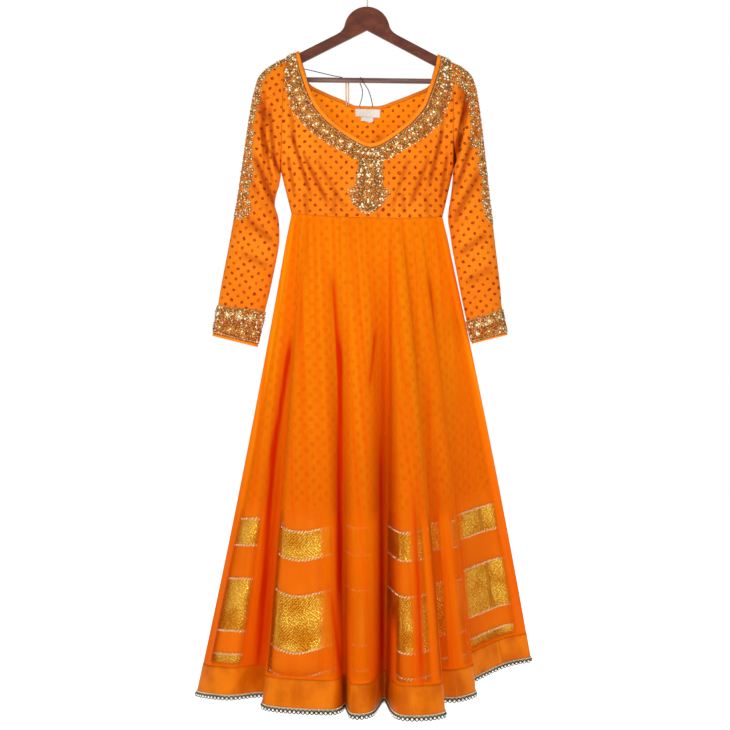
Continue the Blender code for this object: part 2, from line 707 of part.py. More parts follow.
def skirt_rings(tuck_waist=0.0, tuck_hem=0.0):
    """The waist ring and the hem ring, both drawn inwards for the lining."""
    ring = ring_through(hem_knots(tuck_hem))
    seat = np.radians(ring[:, 3])
    waist_x = WAIST_HALF * np.sin(seat)
    waist_y = -WAIST_DEPTH * np.cos(seat)
    waist = np.stack([waist_x, waist_y, waist_height(waist_x, waist_y) - SEAM_GAP], axis=-1)
    hem = np.stack([ring[:, 0], ring[:, 1], HEM_Z + ring[:, 2]], axis=-1)
    waist[:, :2] += inward_mitres(waist[:, :2]) * tuck_waist
    return waist, hem


def skirt_grid(rows, tuck_waist=0.0, tuck_hem=0.0):
    """Straight lines from the waist ring to the hem ring, cut at the rows' shares."""
    waist, hem = skirt_rings(tuck_waist, tuck_hem)
    share = np.array(rows)[:, None, None]
    grid = waist + (hem - waist) * share
    grid[..., 0:1] += SKIRT_SWAY * 4 * share * (1 - share)
    return grid


def make_skirt(dotted, net, gold, satin, pearl):
    """Lining skirt with its gold bands, net skirt, hem band and trim."""
    lining = skirt_grid(LINING_ROWS, LINING_TUCK_WAIST, LINING_TUCK_HEM)
    cloth("skirt_lining", lining, LINING_WALL, dotted, ring=True)
    for name, row in (("upper", 3), ("wide", 5), ("hem", 7)):
        applied("lining_band_" + name, lining[row:row + 2], BAND_WALL, gold, ring=True)
    cloth("skirt_net", skirt_grid(NET_ROWS), NET_WALL, net, ring=True)
    hem = skirt_grid(HEM_ROWS)
    cloth("hem_band", hem, SATIN_WALL, satin, ring=True)
    applied("hem_trim", hem[1:], TRIM_WALL, pearl, ring=True)


# ---------------------------------------------------------------- loop and threads

def make_loop(material):
    """A narrow tape, up, over and down again, leaning on the back of the bar."""
    foot, head = np.array(LOOP_FOOT), np.array(LOOP_HEAD)
    lean = (head - foot) / np.linalg.norm(head - foot)
    rise = np.linalg.norm(head - foot) - LOOP_TURN
    path = [(-LOOP_TURN, 0.0), (-LOOP_TURN, rise / 2)]
    for angle in np.linspace(math.pi, 0, 7):
        path.append((LOOP_TURN * math.cos(angle), rise + LOOP_TURN * math.sin(angle)))
    path += [(LOOP_TURN, rise / 2), (LOOP_TURN, 0.0)]
    path = np.array(path)
    along = np.gradient(path, axis=0)
    along /= np.linalg.norm(along, axis=1, keepdims=True)
    sideways = np.stack([-along[:, 1], along[:, 0]], axis=-1) * LOOP_TAPE / 2
    flat = np.stack([path - sideways, path + sideways], axis=1)
    place = foot + flat[..., 1:2] * lean
    grid = np.stack([LOOP_X + flat[..., 0], place[..., 0], place[..., 1]], axis=-1)
    return cloth("hanging_loop", grid, TAG_WALL, material)


# ---------------------------------------------------------------- the whole

def clear_scene():
    for item in list(bpy.data.objects):
        bpy.data.objects.remove(item, do_unlink=True)


def main():
    clear_scene()
    dotted = look("dotted cloth", (0.86, 0.25, 0.02), 0.62)
    plain = look("plain orange", (0.88, 0.28, 0.03), 0.50)
    embroidered = look("embroidery", (0.55, 0.32, 0.10), 0.42, 0.35)
    white = look("white label", (0.85, 0.83, 0.78), 0.70)
    net = look("net", (0.85, 0.22, 0.01), 0.60)
    gold = look("gold brocade", (0.62, 0.34, 0.05), 0.38, 0.55)
    satin = look("satin", (0.86, 0.24, 0.02), 0.40)
    pearl = look("pearl trim", (0.70, 0.68, 0.62), 0.35)
    tape = look("tape", (0.75, 0.38, 0.20), 0.60)
    thread = look("thread", (0.10, 0.09, 0.09), 0.70)
    wood = look("dark wood", (0.12, 0.035, 0.018), 0.38)
    bar_wood = look("bar wood", (0.16, 0.07, 0.05), 0.42)
    steel = look("steel wire", (0.55, 0.55, 0.56), 0.28, 1.0)

    make_yoke(wood)
    make_bar(bar_wood)
    make_hook(steel)
    make_bodice(dotted, plain, embroidered, white)
    make_sleeve("left", sleeve_grid(SLEEVE_LEFT_SECTIONS, False), dotted, plain, embroidered)
    make_sleeve("right", sleeve_grid(SLEEVE_RIGHT_SECTIONS, True), dotted, plain, embroidered)
    make_skirt(dotted, net, gold, satin, pearl)
    make_loop(tape)
    tube("thread_left", spline(THREAD_LEFT_ROUTE, THREAD_STEPS), THREAD_RADIUS, 2, thread)
    tube("thread_back", spline(THREAD_BACK_ROUTE, THREAD_STEPS), THREAD_RADIUS, 2, thread)


main()
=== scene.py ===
"""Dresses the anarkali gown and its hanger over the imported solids.

Metres, +Z up, the gown faces -Y, origin at the inside top of the hanger's hook.
Every cloth is a grid of points worked out from the same sizes as the solids, only finer.
"""

import math

import bpy
import numpy as np
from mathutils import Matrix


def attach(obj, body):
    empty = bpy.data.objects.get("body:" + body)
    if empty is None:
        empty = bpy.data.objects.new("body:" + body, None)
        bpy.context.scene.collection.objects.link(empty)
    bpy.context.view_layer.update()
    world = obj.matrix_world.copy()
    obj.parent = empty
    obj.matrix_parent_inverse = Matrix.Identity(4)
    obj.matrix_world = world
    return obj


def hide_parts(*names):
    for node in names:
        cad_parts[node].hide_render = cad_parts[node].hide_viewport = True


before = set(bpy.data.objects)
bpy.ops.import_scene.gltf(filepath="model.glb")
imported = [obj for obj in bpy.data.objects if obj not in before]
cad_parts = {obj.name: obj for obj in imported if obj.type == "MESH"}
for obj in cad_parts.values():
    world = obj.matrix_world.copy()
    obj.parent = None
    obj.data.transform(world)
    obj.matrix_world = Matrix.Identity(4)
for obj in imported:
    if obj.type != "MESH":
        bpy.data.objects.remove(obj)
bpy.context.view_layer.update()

# Sizes shared with the solids
SEAM_GAP = 0.0003
APEX_Z = -0.131
ARM_SLOPE = 0.516
ARM_RISE = 0.0231
HANG_TILT = 0.012
CLOTH_OVER_ARM = 0.0038
SHOULDER_X = 0.145
SHOULDER_ROLL = 0.012
CHEST_DROP = 0.090
CHEST_DEPTH_FRONT = 0.044
CHEST_DEPTH_BACK = 0.036
ARMHOLE_DEPTH = 0.031
TIP_LEFT = 0.172
TIP_RIGHT = 0.179
UNDERARM_HALF = 0.1806
UNDERARM_Z = -0.428
WAIST_HALF = 0.1585
WAIST_DEPTH = 0.040
WAIST_Z = -0.5195
WAIST_TILT = 0.0035
WAIST_DIP_FRONT = 0.0085
WAIST_DIP_BACK = 0.0025
BINDING_WIDTH = 0.009
BACK_BAND_WIDTH = 0.008
TAB_FOOT = 0.92
TAB_ROUND = 0.14
TAB_HALF = 0.040
HEM_Z = -1.530
SKIRT_SWAY = 0.006
LINING_TUCK_WAIST = 0.0018
LINING_TUCK_HEM = 0.009
MITRE_LIMIT = 0.35
FIRST_SEAT = -105.0
CREASE_WIDTH = 0.10
CREASE_SHADE = 0.006
FOLD_DEPTH = 0.045
FLOOR_Z, FLOOR_REACH, ROOM_LIGHT = -1.95, 9.0, 0.42

# How thick each cloth is, and how far a gold band or the edging lies out from the skirt
PANEL_WALL, SATIN_WALL, BAND_WALL, TAPE_WALL, LABEL_WALL = 0.0008, 0.0009, 0.0006, 0.0005, 0.0004
OVER_SKIRT = 0.0012
THREADS_TO_METRE = 5200.0
CAMERA_PLACE = (-0.0042, -3.0, -0.8337)
CAMERA_LENS, CAMERA_SENSOR = 70.45, 36.0
LOOSE_BEAD_SIZES = (0.0008, 0.0016)

# Shares of the skirt's length, from the waist to the hem
LINING_FOOT = 0.958
BANDS = {"upper": (0.632, 0.686), "wide": (0.755, 0.862), "hem": (0.910, 0.928)}
NET_FOOT = 0.9345
SATIN_FOOT = 1.0
TRIM_FROM = 0.992


def shoulder_line(x):
    """Height of the cloth's top over a level hanger's arm, at a distance x from the middle."""
    return APEX_Z + ARM_RISE + CLOTH_OVER_ARM - ARM_SLOPE * abs(x)


# neck_x, neck_z, border_x, border_z, outline, lean
FRONT_STATIONS = (
    (0.1450, shoulder_line(0.1450), 0.1710, shoulder_line(0.1710), 0.000, 0.0030),
    (0.1444, shoulder_line(0.1444) - 0.005, 0.1716, shoulder_line(0.1716) - 0.005, 0.022, 0.0030),
    (0.1428, shoulder_line(0.1428) - 0.014, 0.1722, shoulder_line(0.1722) - 0.015, 0.065, 0.0032),
    (0.1376, -0.2140, 0.1728, -0.2346, 0.180, 0.0035),
    (0.1304, -0.2370, 0.1700, -0.2640, 0.330, 0.0035),
    (0.1239, -0.2578, 0.1600, -0.2963, 0.500, 0.0035),
    (0.1090, -0.2916, 0.1460, -0.3244, 0.720, 0.0045),
    (0.0840, -0.3226, 0.1180, -0.3530, 1.000, 0.0050),
    (0.0544, -0.3471, 0.0854, -0.3757, 2.000, 0.0060),
    (0.0360, -0.3590, 0.0560, -0.3925, 2.450, 0.0070),
    (0.0220, -0.3675, 0.0310, -0.4065, 2.748, 0.0080),
    (0.0100, -0.3725, 0.0155, -0.4095, 2.875, 0.0082),
    (0.0000, -0.3743, 0.0000, -0.4105, 3.000, 0.0082),
)

# neck_x, neck_z, outline, lean
BACK_STATIONS = (
    (0.1450, shoulder_line(0.1450), 0.000, 0.0030),
    (0.1444, shoulder_line(0.1444) - 0.005, 0.022, 0.0030),
    (0.1420, shoulder_line(0.1420) - 0.014, 0.065, 0.0032),
    (0.1350, -0.2150, 0.200, 0.0040),
    (0.1255, -0.2400, 0.450, 0.0045),
    (0.0890, -0.2580, 1.000, 0.0045),
    (0.0500, -0.2735, 2.000, 0.0040),
    (0.0276, -0.2825, 2.600, 0.0018),
    (0.0000, -0.2840, 3.000, 0.0018),
)

# start_x, start_y, end_x, end_y, start_lift, end_lift, valley_x, valley_y, seat
SKIRT_FOLDS = (
    (-0.360, 0.020, -0.292, -0.050, 0.000, 0.006, -0.212, -0.012, -66.0),
    (-0.205, -0.112, -0.072, -0.150, 0.000, 0.000, -0.045, -0.092, -28.8),
    (-0.030, -0.172, 0.008, -0.165, -0.002, 0.000, 0.036, -0.038, 13.2),
    (0.064, -0.182, 0.152, -0.165, -0.002, -0.002, 0.140, -0.045, 30.0),
    (0.190, -0.040, 0.228, 0.002, 0.000, 0.003, 0.206, 0.072, 49.0),
    (0.300, 0.150, 0.364, 0.172, 0.030, 0.041, 0.278, 0.222, 98.0),
    (0.262, 0.268, 0.205, 0.260, 0.026, 0.018, 0.174, 0.155, 126.0),
    (0.130, 0.228, 0.065, 0.236, 0.016, 0.012, 0.048, 0.140, 152.0),
    (0.008, 0.226, -0.055, 0.228, 0.010, 0.010, -0.070, 0.135, 180.0),
    (-0.112, 0.216, -0.166, 0.202, 0.010, 0.010, -0.165, 0.115, 207.0),
    (-0.232, 0.186, -0.272, 0.158, 0.012, 0.010, -0.222, 0.086, 233.0),
    (-0.326, 0.128, -0.346, 0.092, 0.008, 0.004, -0.268, 0.046, 255.0),
)
FOLD_STEPS = (8, 11, 9)

# outer_x, outer_z, under_x, under_z, half_depth, fold_at, fold_doubling_and_shade
SLEEVE_LEFT_SECTIONS = (
    (-0.1995, -0.2048, -0.1817, -0.4410, 0.036, 0.25, 0.003),
    (-0.2247, -0.2268, -0.1848, -0.4578, 0.038, 0.37, 0.009),
    (-0.2373, -0.2625, -0.1911, -0.4788, 0.039, 0.55, 0.011),
    (-0.2478, -0.3192, -0.1932, -0.4998, 0.039, 0.68, 0.008),
    (-0.2604, -0.4032, -0.1858, -0.5271, 0.037, 0.76, 0.003),
    (-0.2730, -0.4872, -0.1840, -0.5712, 0.033, 0.76, 0.0),
    (-0.2898, -0.5817, -0.1911, -0.6174, 0.029, 0.76, 0.0),
    (-0.3066, -0.6699, -0.2048, -0.6825, 0.026, 0.76, 0.0),
    (-0.3129, -0.7088, -0.2142, -0.7214, 0.024, 0.76, 0.0),
    (-0.3234, -0.7728, -0.2310, -0.7959, 0.022, 0.76, 0.0),
)
SLEEVE_RIGHT_SECTIONS = (
    (0.2016, -0.2103, 0.1795, -0.4557, 0.036, 0.72, 0.003),
    (0.2205, -0.2300, 0.1750, -0.4872, 0.038, 0.30, 0.007),
    (0.2310, -0.2625, 0.1710, -0.5124, 0.039, 0.12, 0.004),
    (0.2394, -0.3192, 0.1705, -0.5334, 0.038, 0.12, 0.0),
    (0.2478, -0.3927, 0.1742, -0.5544, 0.035, 0.12, 0.0),
    (0.2583, -0.4872, 0.1795, -0.5922, 0.031, 0.12, 0.0),
    (0.2688, -0.5775, 0.1874, -0.6342, 0.027, 0.12, 0.0),
    (0.2793, -0.6657, 0.1978, -0.6888, 0.024, 0.12, 0.0),
    (0.2835, -0.7161, 0.2092, -0.7413, 0.022, 0.12, 0.0),
    (0.2940, -0.7707, 0.2218, -0.7890, 0.020, 0.12, 0.0),
)

THREAD_RADIUS = 0.0009
THREAD_LEFT_ROUTE = (
    (-0.1316, -0.0255, -0.2172),
    (-0.1120, -0.0200, -0.2205),
    (-0.0960, -0.0140, -0.2232),
    (-0.0800, -0.0085, -0.2258),
    (-0.0660, -0.0035, -0.2280),
    (-0.0520, 0.0000, -0.2296),
)
THREAD_BACK_ROUTE = (
    (-0.0157, 0.0330, -0.2842),
    (-0.0140, 0.0290, -0.2785),
    (-0.0110, 0.0220, -0.2700),
    (-0.0093, 0.0145, -0.2585),
    (-0.0112, 0.0098, -0.2485),
    (-0.0142, 0.0080, -0.2420),
    (-0.0150, 0.0062, -0.2340),
    (-0.0135, 0.0000, -0.2298),
    (-0.0115, -0.0062, -0.2335),
    (-0.0090, -0.0066, -0.2400),
    (-0.0040, -0.0030, -0.2462),
    (0.0020, 0.0030, -0.2540),
    (0.0066, 0.0120, -0.2645),
    (0.0100, 0.0220, -0.2750),
    (0.0121, 0.0330, -0.2850),
)
THREAD_STEPS = 2


# ------------------------------------------------------------ curves and grids

def hermite(start, end, start_slope, end_slope, t):
    """Point at t on the cubic that has these ends and slopes."""
    return ((2 * t ** 3 - 3 * t ** 2 + 1) * start + (t ** 3 - 2 * t ** 2 + t) * start_slope
            + (3 * t ** 2 - 2 * t ** 3) * end + (t ** 3 - t ** 2) * end_slope)


def spline(rows, steps):
    """Catmull-Rom curve through the rows of a table, steps points to each stretch."""
    table = np.array(rows, dtype=float)
    before = np.vstack([2 * table[:1] - table[1:2], table[:-1]])
    after = np.vstack([table[1:], 2 * table[-1:] - table[-2:-1]])
    slope = ((after - before) / 2)[:, None, :]
    share = (np.arange(steps) / steps)[None, :, None]
    inner = hermite(table[:-1, None, :], table[1:, None, :], slope[:-1], slope[1:], share)
    return np.vstack([inner.reshape(-1, table.shape[1]), table[-1:]])


def smooth(t):
    """0 to 1 with flat ends."""
    t = np.clip(t, 0.0, 1.0)
    return t * t * (3 - 2 * t)


def bell(x, middle, width):
    """1 at the middle, falling away on both sides."""
    return np.exp(-((x - middle) / width) ** 2)


def unit(ways):
    """The same ways, each of length 1."""
    return ways / np.maximum(np.linalg.norm(ways, axis=-1, keepdims=True), 1e-12)


def outward(grid, ring=False):
    """Unit normals of a grid whose rows run down and whose columns run left to right."""
    if ring:
        across = np.roll(grid, -1, axis=1) - np.roll(grid, 1, axis=1)
    else:
        across = np.gradient(grid, axis=1)
    return unit(np.cross(np.gradient(grid, axis=0), across))


def moved_out(grid, distance, ring=False):
    """The grid moved along its normals. The distance is one number or one for each point."""
    distance = np.asarray(distance)
    if distance.ndim == 2:
        distance = distance[..., None]
    return grid + outward(grid, ring) * distance


def run_along(grid):
    """Distance along each row from its first point, and down each column."""
    across = np.linalg.norm(np.diff(grid, axis=1), axis=2)
    down = np.linalg.norm(np.diff(grid, axis=0), axis=2)
    u = np.concatenate([np.zeros((grid.shape[0], 1)), np.cumsum(across, axis=1)], axis=1)
    v = np.concatenate([np.zeros((1, grid.shape[1])), np.cumsum(down, axis=0)], axis=0)
    return u, v


# ------------------------------------------------------------ meshes

def put_uv(mesh, flat):
    """Writes a UV map, in metres of cloth, from one pair of numbers to each corner."""
    layer = mesh.uv_layers.new(name="cloth")
    layer.data.foreach_set("uv", flat.reshape(-1).astype(np.float32))


def placed(name, data):
    """A new object in the scene."""
    piece = bpy.data.objects.new(name, data)
    bpy.context.scene.collection.objects.link(piece)
    return piece


def sheet_mesh(name, grid, material, ring=False, cloth=None, wall=0.0, reverse=None):
    """A grid of points as one skin of four-sided faces, outwards. cloth gives each point its
    place on the flat cloth. wall thickens it inwards, with the reverse side's material if
    that is another."""
    rows, columns = grid.shape[:2]
    spans = columns if ring else columns - 1
    row, column = np.meshgrid(np.arange(rows - 1), np.arange(spans), indexing="ij")
    following = (column + 1) % columns
    faces = np.stack([row * columns + column, (row + 1) * columns + column,
                      (row + 1) * columns + following, row * columns + following], axis=-1)
    mesh = bpy.data.meshes.new(name)
    mesh.from_pydata(grid.reshape(-1, 3).tolist(), [], faces.reshape(-1, 4).tolist())
    if cloth is not None:
        u, v = cloth
        if ring:
            closing = u[:, -1:] + np.linalg.norm(grid[:, :1] - grid[:, -1:], axis=2)
            u = np.concatenate([u, closing], axis=1)
            v = np.concatenate([v, v[:, :1]], axis=1)
        corner = [np.stack([u[r:r + rows - 1, c:c + spans], v[r:r + rows - 1, c:c + spans]], -1)
                  for r, c in ((0, 0), (1, 0), (1, 1), (0, 1))]
        put_uv(mesh, np.stack(corner, axis=2))
    mesh.materials.append(material)
    mesh.shade_smooth()
    piece = placed(name, mesh)
    if wall:
        solidify = piece.modifiers.new("wall", "SOLIDIFY")
        solidify.thickness = wall
        solidify.offset = -1.0
        solidify.use_even_offset = False
        if reverse is not None:
            mesh.materials.append(reverse)
            solidify.material_offset = 1
    return piece


def dress(piece, slot, *nodes):
    """Puts a piece on the body, in place of the CAD nodes it stands for."""
    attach(piece, "root")
    if nodes:
        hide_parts(*nodes)
    return piece


def laid(name, grid, material, slot, node, wall=0.0, ring=False, cloth=None, reverse=None):
    """A skin of cloth in place of its solid. Its print runs along the grid unless cloth gives
    each point's place."""
    cloth = run_along(grid) if cloth is None else cloth
    piece = sheet_mesh(name, grid, material, ring, cloth, wall, reverse)
    dress(piece, slot, node)
    return piece


def repeated(name, places, across, up, facing, shape, faces, material, tints=None):
    """One small shape repeated at many places as one mesh. across, up and facing are the
    three axes of each copy, already scaled."""
    points = (places[:, None, :] + shape[None, :, 0:1] * across[:, None, :]
              + shape[None, :, 1:2] * up[:, None, :] + shape[None, :, 2:3] * facing[:, None, :])
    count = len(shape)
    loops = np.concatenate([np.array(face) for face in faces])
    sizes = np.array([len(face) for face in faces])
    copies = len(places)
    all_loops = (loops[None, :] + (np.arange(copies) * count)[:, None]).reshape(-1)
    all_sizes = np.tile(sizes, copies)
    mesh = bpy.data.meshes.new(name)
    mesh.vertices.add(copies * count)
    mesh.vertices.foreach_set("co", points.reshape(-1).astype(np.float32))
    mesh.loops.add(len(all_loops))
    mesh.loops.foreach_set("vertex_index", all_loops.astype(np.int32))
    mesh.polygons.add(len(all_sizes))
    starts = np.concatenate([[0], np.cumsum(all_sizes)[:-1]])
    mesh.polygons.foreach_set("loop_start", starts.astype(np.int32))
    mesh.update(calc_edges=True)
    if tints is not None:
        layer = mesh.color_attributes.new("tint", "FLOAT_COLOR", "POINT")
        full = np.concatenate([np.repeat(tints, count, axis=0), np.ones((copies * count, 1))], 1)
        layer.data.foreach_set("color", full.reshape(-1).astype(np.float32))
    mesh.materials.append(material)
    mesh.shade_smooth()
    return placed(name, mesh)


# ------------------------------------------------------------ small shapes, unit size

def dome_shape(sides, rings, height):
    """A low dome: rings of shrinking radius, from radius 1, rising to a point in the middle."""
    rise, turn = np.meshgrid(np.arange(rings) / rings * math.pi / 2,
                             np.arange(sides) * 2 * math.pi / sides, indexing="ij")
    points = np.stack([np.cos(rise) * np.cos(turn), np.cos(rise) * np.sin(turn),
                       height * np.sin(rise)], axis=-1).reshape(-1, 3)
    ring, side = np.meshgrid(np.arange(rings - 1), np.arange(sides), indexing="ij")
    low, following = ring * sides + side, ring * sides + (side + 1) % sides
    belts = np.stack([low, following, following + sides, low + sides], -1).reshape(-1, 4)
    last = (rings - 1) * sides + np.arange(sides)
    caps = np.stack([last, np.roll(last, -1), np.full(sides, rings * sides)], axis=-1)
    return np.vstack([points, (0.0, 0.0, height)]), belts.tolist() + caps.tolist()


def ring_shape(thick, around, section):
    """A small ring lying flat, radius 1 to its middle."""
    turn, roll = np.meshgrid(np.arange(around) * 2 * math.pi / around,
                             np.arange(section) * 2 * math.pi / section, indexing="ij")
    reach = 1 + thick * np.cos(roll)
    points = np.stack([reach * np.cos(turn), reach * np.sin(turn), thick * np.sin(roll)], -1)
    i, j = np.meshgrid(np.arange(around), np.arange(section), indexing="ij")
    k, m = (i + 1) % around, (j + 1) % section
    faces = np.stack([i * section + j, k * section + j, k * section + m, i * section + m], -1)
    return points.reshape(-1, 3), faces.reshape(-1, 4).tolist()


def leaf_shape():
    """A pointed leaf lying along its first axis, 2 long and 0.84 wide, with a raised rib."""
    points = [(-1.0, 0.0, 0.0), (-0.35, -0.42, 0.02), (0.35, -0.40, 0.02), (1.0, 0.0, 0.0),
              (0.35, 0.40, 0.02), (-0.35, 0.42, 0.02), (-0.4, 0.0, 0.28), (0.4, 0.0, 0.28)]
    faces = [(0, 1, 6), (1, 2, 7, 6), (2, 3, 7), (3, 4, 7), (4, 5, 6, 7), (5, 0, 6)]
    return np.array(points), faces


# ------------------------------------------------------------ the gown's forms

def shoulder_line_at(x):
    """Height of the cloth's top over the hanger's arm, as it hangs."""
    return APEX_Z + ARM_RISE + CLOTH_OVER_ARM - ARM_SLOPE * np.abs(x) - HANG_TILT * x


def armhole_tip(right):
    """Distance of the shoulder's end from the middle, and its height, on each side."""
    reach = np.where(right, TIP_RIGHT, TIP_LEFT)
    sign = np.where(right, 1.0, -1.0)
    height = APEX_Z + ARM_RISE + CLOTH_OVER_ARM - ARM_SLOPE * reach - HANG_TILT * reach * sign
    return reach, height


def bodice_half_width(x, z):
    """Distance of the armhole or the side seam from the middle at a height."""
    reach, tip_z = armhole_tip(x > 0)
    down = np.clip((tip_z - z) / (tip_z - UNDERARM_Z), 0, 1)
    upper = reach + (UNDERARM_HALF - reach) * down
    seam = np.clip((UNDERARM_Z - z) / (UNDERARM_Z - WAIST_Z), 0, None)
    return np.where(z > UNDERARM_Z, upper, UNDERARM_HALF + (WAIST_HALF - UNDERARM_HALF) * seam)


def shoulder_roll(drop):
    """How far the cloth has come forward at a drop below the shoulder's line."""
    return SHOULDER_ROLL * np.sqrt(1 - (1 - np.minimum(drop / SHOULDER_ROLL, 1)) ** 2)


def armhole_depth(x, z):
    """Half the width of the armhole at a height: an oval, rolled over the arm at its top."""
    _, tip_z = armhole_tip(x > 0)
    down = np.clip((tip_z - z) / (tip_z - UNDERARM_Z), 0, 1)
    oval = ARMHOLE_DEPTH * 2 * np.sqrt(down * (1 - down))
    rolled = shoulder_roll(np.maximum(shoulder_line_at(x) - z, 0))
    return np.where(down < 0.5, np.maximum(oval, rolled), oval)


def bodice_depth(x, z, chest):
    """Distance of the cloth from the hanger's plane: a roll over the arm, a fall forward to
    the chest, and an elliptic closing towards the armhole and the side seam."""
    drop = np.maximum(shoulder_line_at(x) - z, 0)
    low = smooth((UNDERARM_Z - z) / (UNDERARM_Z - WAIST_Z))
    full = chest + (WAIST_DEPTH - chest) * low
    middle = shoulder_roll(drop) + (full - SHOULDER_ROLL) * smooth(drop / CHEST_DROP)
    edge = armhole_depth(x, z)
    across = np.clip(np.abs(x) / bodice_half_width(x, z), 0, 1)
    return edge + (middle - edge) * np.sqrt(1 - across ** 2)


def waist_height(x, y):
    """Height of the waist seam: it dips in front and a little behind."""
    front = np.clip(-y / WAIST_DEPTH, 0, 1)
    back = np.clip(y / WAIST_DEPTH, 0, 1)
    return (WAIST_Z - WAIST_TILT * x / WAIST_HALF
            - WAIST_DIP_FRONT * front ** 2 - WAIST_DIP_BACK * back ** 2)


def outline_place(sign, along, facing):
    """x and z at a place on the armhole (0-1), the side seam (1-2) or the waist (2-3)."""
    reach, tip_z = armhole_tip(sign > 0)
    corner_z = waist_height(sign * WAIST_HALF, 0.0)
    waist_x = WAIST_HALF * np.clip(3 - along, 0, 1)
    waist_y = facing * WAIST_DEPTH * np.sqrt(1 - (waist_x / WAIST_HALF) ** 2)
    armhole = np.clip(along, 0, 1)
    seam = np.clip(along - 1, 0, 1)
    x = np.where(along <= 1, reach + (UNDERARM_HALF - reach) * armhole,
                 np.where(along <= 2, UNDERARM_HALF + (WAIST_HALF - UNDERARM_HALF) * seam, waist_x))
    z = np.where(along <= 1, tip_z + (UNDERARM_Z - tip_z) * armhole,
                 np.where(along <= 2, UNDERARM_Z + (corner_z - UNDERARM_Z) * seam,
                          waist_height(sign * waist_x, waist_y)))
    return np.stack([sign * x, z], axis=-1)


def whole_table(stations, steps):
    """A half table made fine and mirrored: the columns, and -1 or +1 for the side of each."""
    half = spline(stations, steps)
    sign = np.concatenate([-np.ones(len(half)), np.ones(len(half) - 1)])
    return np.vstack([half, half[-2::-1]]), sign


def leaned(sign, x, z, lean):
    """A point of a half table, on its side, leaned and tilted as the gown hangs."""
    place = sign * x + lean
    near_shoulder = np.clip(x / SHOULDER_X, 0, 1) ** 6
    height = z - ARM_SLOPE * sign * lean * near_shoulder
    return np.stack([place, height - HANG_TILT * place], axis=-1)


def between(stops, shares):
    """Rows of points at shares 0, 1, 2 ... of the way through a list of stops."""
    rows = []
    for share in shares:
        index = min(int(share), len(stops) - 2)
        rows.append(stops[index] + (stops[index + 1] - stops[index]) * (share - index))
    return np.array(rows)


def toward(start, end, distance):
    """Points a distance from start on the way to end."""
    way = end - start
    return start + way / np.linalg.norm(way, axis=1, keepdims=True) * distance


def front_stops(steps):
    """Neck edge, binding's edge, border's edge and outline of the front, in x and z, and the
    share of the way from border to outline where the tab ends."""
    table, sign = whole_table(FRONT_STATIONS, steps)
    neck = leaned(sign, table[:, 0], table[:, 1], table[:, 5])
    border = leaned(sign, table[:, 2], table[:, 3], table[:, 5])
    outline = outline_place(sign, table[:, 4], -1)
    spread = np.clip(np.abs(outline[:, 0]) / TAB_HALF, 0, 1)
    return [neck, toward(neck, border, BINDING_WIDTH), border, outline], spread


def back_stops(steps):
    """Neck edge, band's edge and outline of the back, from +X to -X."""
    table, sign = whole_table(BACK_STATIONS, steps)
    neck = leaned(sign, table[:, 0], table[:, 1], table[:, 3])[::-1]
    outline = outline_place(sign, table[:, 2], 1)[::-1]
    return [neck, toward(neck, outline, BACK_BAND_WIDTH), outline]


# Creases, as straight strokes seen from the front. depth is inwards where positive.
# x0, z0, x1, z1, width, depth
FRONT_CREASES = (
    (-0.157, -0.352, -0.118, -0.478, 0.0042, 0.0052),
    (-0.148, -0.360, -0.108, -0.480, 0.0045, -0.0030),
    (-0.139, -0.384, -0.082, -0.496, 0.0042, 0.0048),
    (-0.128, -0.380, -0.072, -0.488, 0.0045, -0.0026),
    (-0.166, -0.398, -0.152, -0.480, 0.0036, 0.0040),
    (-0.105, -0.405, -0.046, -0.506, 0.0045, 0.0026),
    (-0.160, -0.296, -0.150, -0.372, 0.0046, 0.0030),
    (0.156, -0.350, 0.130, -0.458, 0.0042, 0.0050),
    (0.148, -0.350, 0.120, -0.450, 0.0045, -0.0030),
    (0.134, -0.394, 0.090, -0.500, 0.0042, 0.0044),
    (0.122, -0.394, 0.080, -0.490, 0.0045, -0.0024),
    (0.168, -0.396, 0.156, -0.484, 0.0036, 0.0044),
    (0.086, -0.405, 0.052, -0.508, 0.0045, 0.0026),
    (0.160, -0.296, 0.154, -0.360, 0.0046, 0.0028),
    (-0.066, -0.470, -0.070, -0.520, 0.0050, 0.0028),
    (0.074, -0.474, 0.078, -0.520, 0.0050, 0.0028),
    (-0.128, -0.476, -0.126, -0.522, 0.0045, 0.0028),
    (0.124, -0.476, 0.128, -0.522, 0.0045, 0.0028),
)
BACK_CREASES = (
    (-0.120, -0.330, -0.080, -0.420, 0.0100, 0.0032),
    (0.110, -0.320, 0.070, -0.430, 0.0100, 0.0032),
    (0.030, -0.330, 0.010, -0.480, 0.0110, 0.0026),
    (-0.060, -0.400, -0.050, -0.510, 0.0090, 0.0028),
    (0.120, -0.410, 0.125, -0.515, 0.0080, 0.0026),
    (-0.140, -0.380, -0.128, -0.510, 0.0080, 0.0026),
    (0.000, -0.300, 0.040, -0.350, 0.0080, -0.0018),
)


def pressed(grid, creases, facing=None):
    """How far creases push each point out: along each stroke the cloth goes in by its depth,
    falling away as a bell across the stroke and towards its ends. facing keeps them to one
    side."""
    x, z = grid[..., 0], grid[..., 2]
    amount = np.zeros(grid.shape[:2])
    for x0, z0, x1, z1, width, depth in creases:
        along_x, along_z = x1 - x0, z1 - z0
        length = math.hypot(along_x, along_z)
        share = ((x - x0) * along_x + (z - z0) * along_z) / length ** 2
        off = ((x - x0) * along_z - (z - z0) * along_x) / length
        ends = smooth(share / 0.3 + 0.4) * smooth((1 - share) / 0.3 + 0.4)
        amount -= depth * np.exp(-(off / width) ** 2) * ends
    if facing is not None:
        amount *= np.where(grid[..., 1] * facing > 0, smooth(np.abs(grid[..., 1]) / 0.012), 0)
    return amount


def creased(grid, creases, ring=False, facing=None):
    """Presses creases into a grid."""
    return moved_out(grid, pressed(grid, creases, facing), ring)


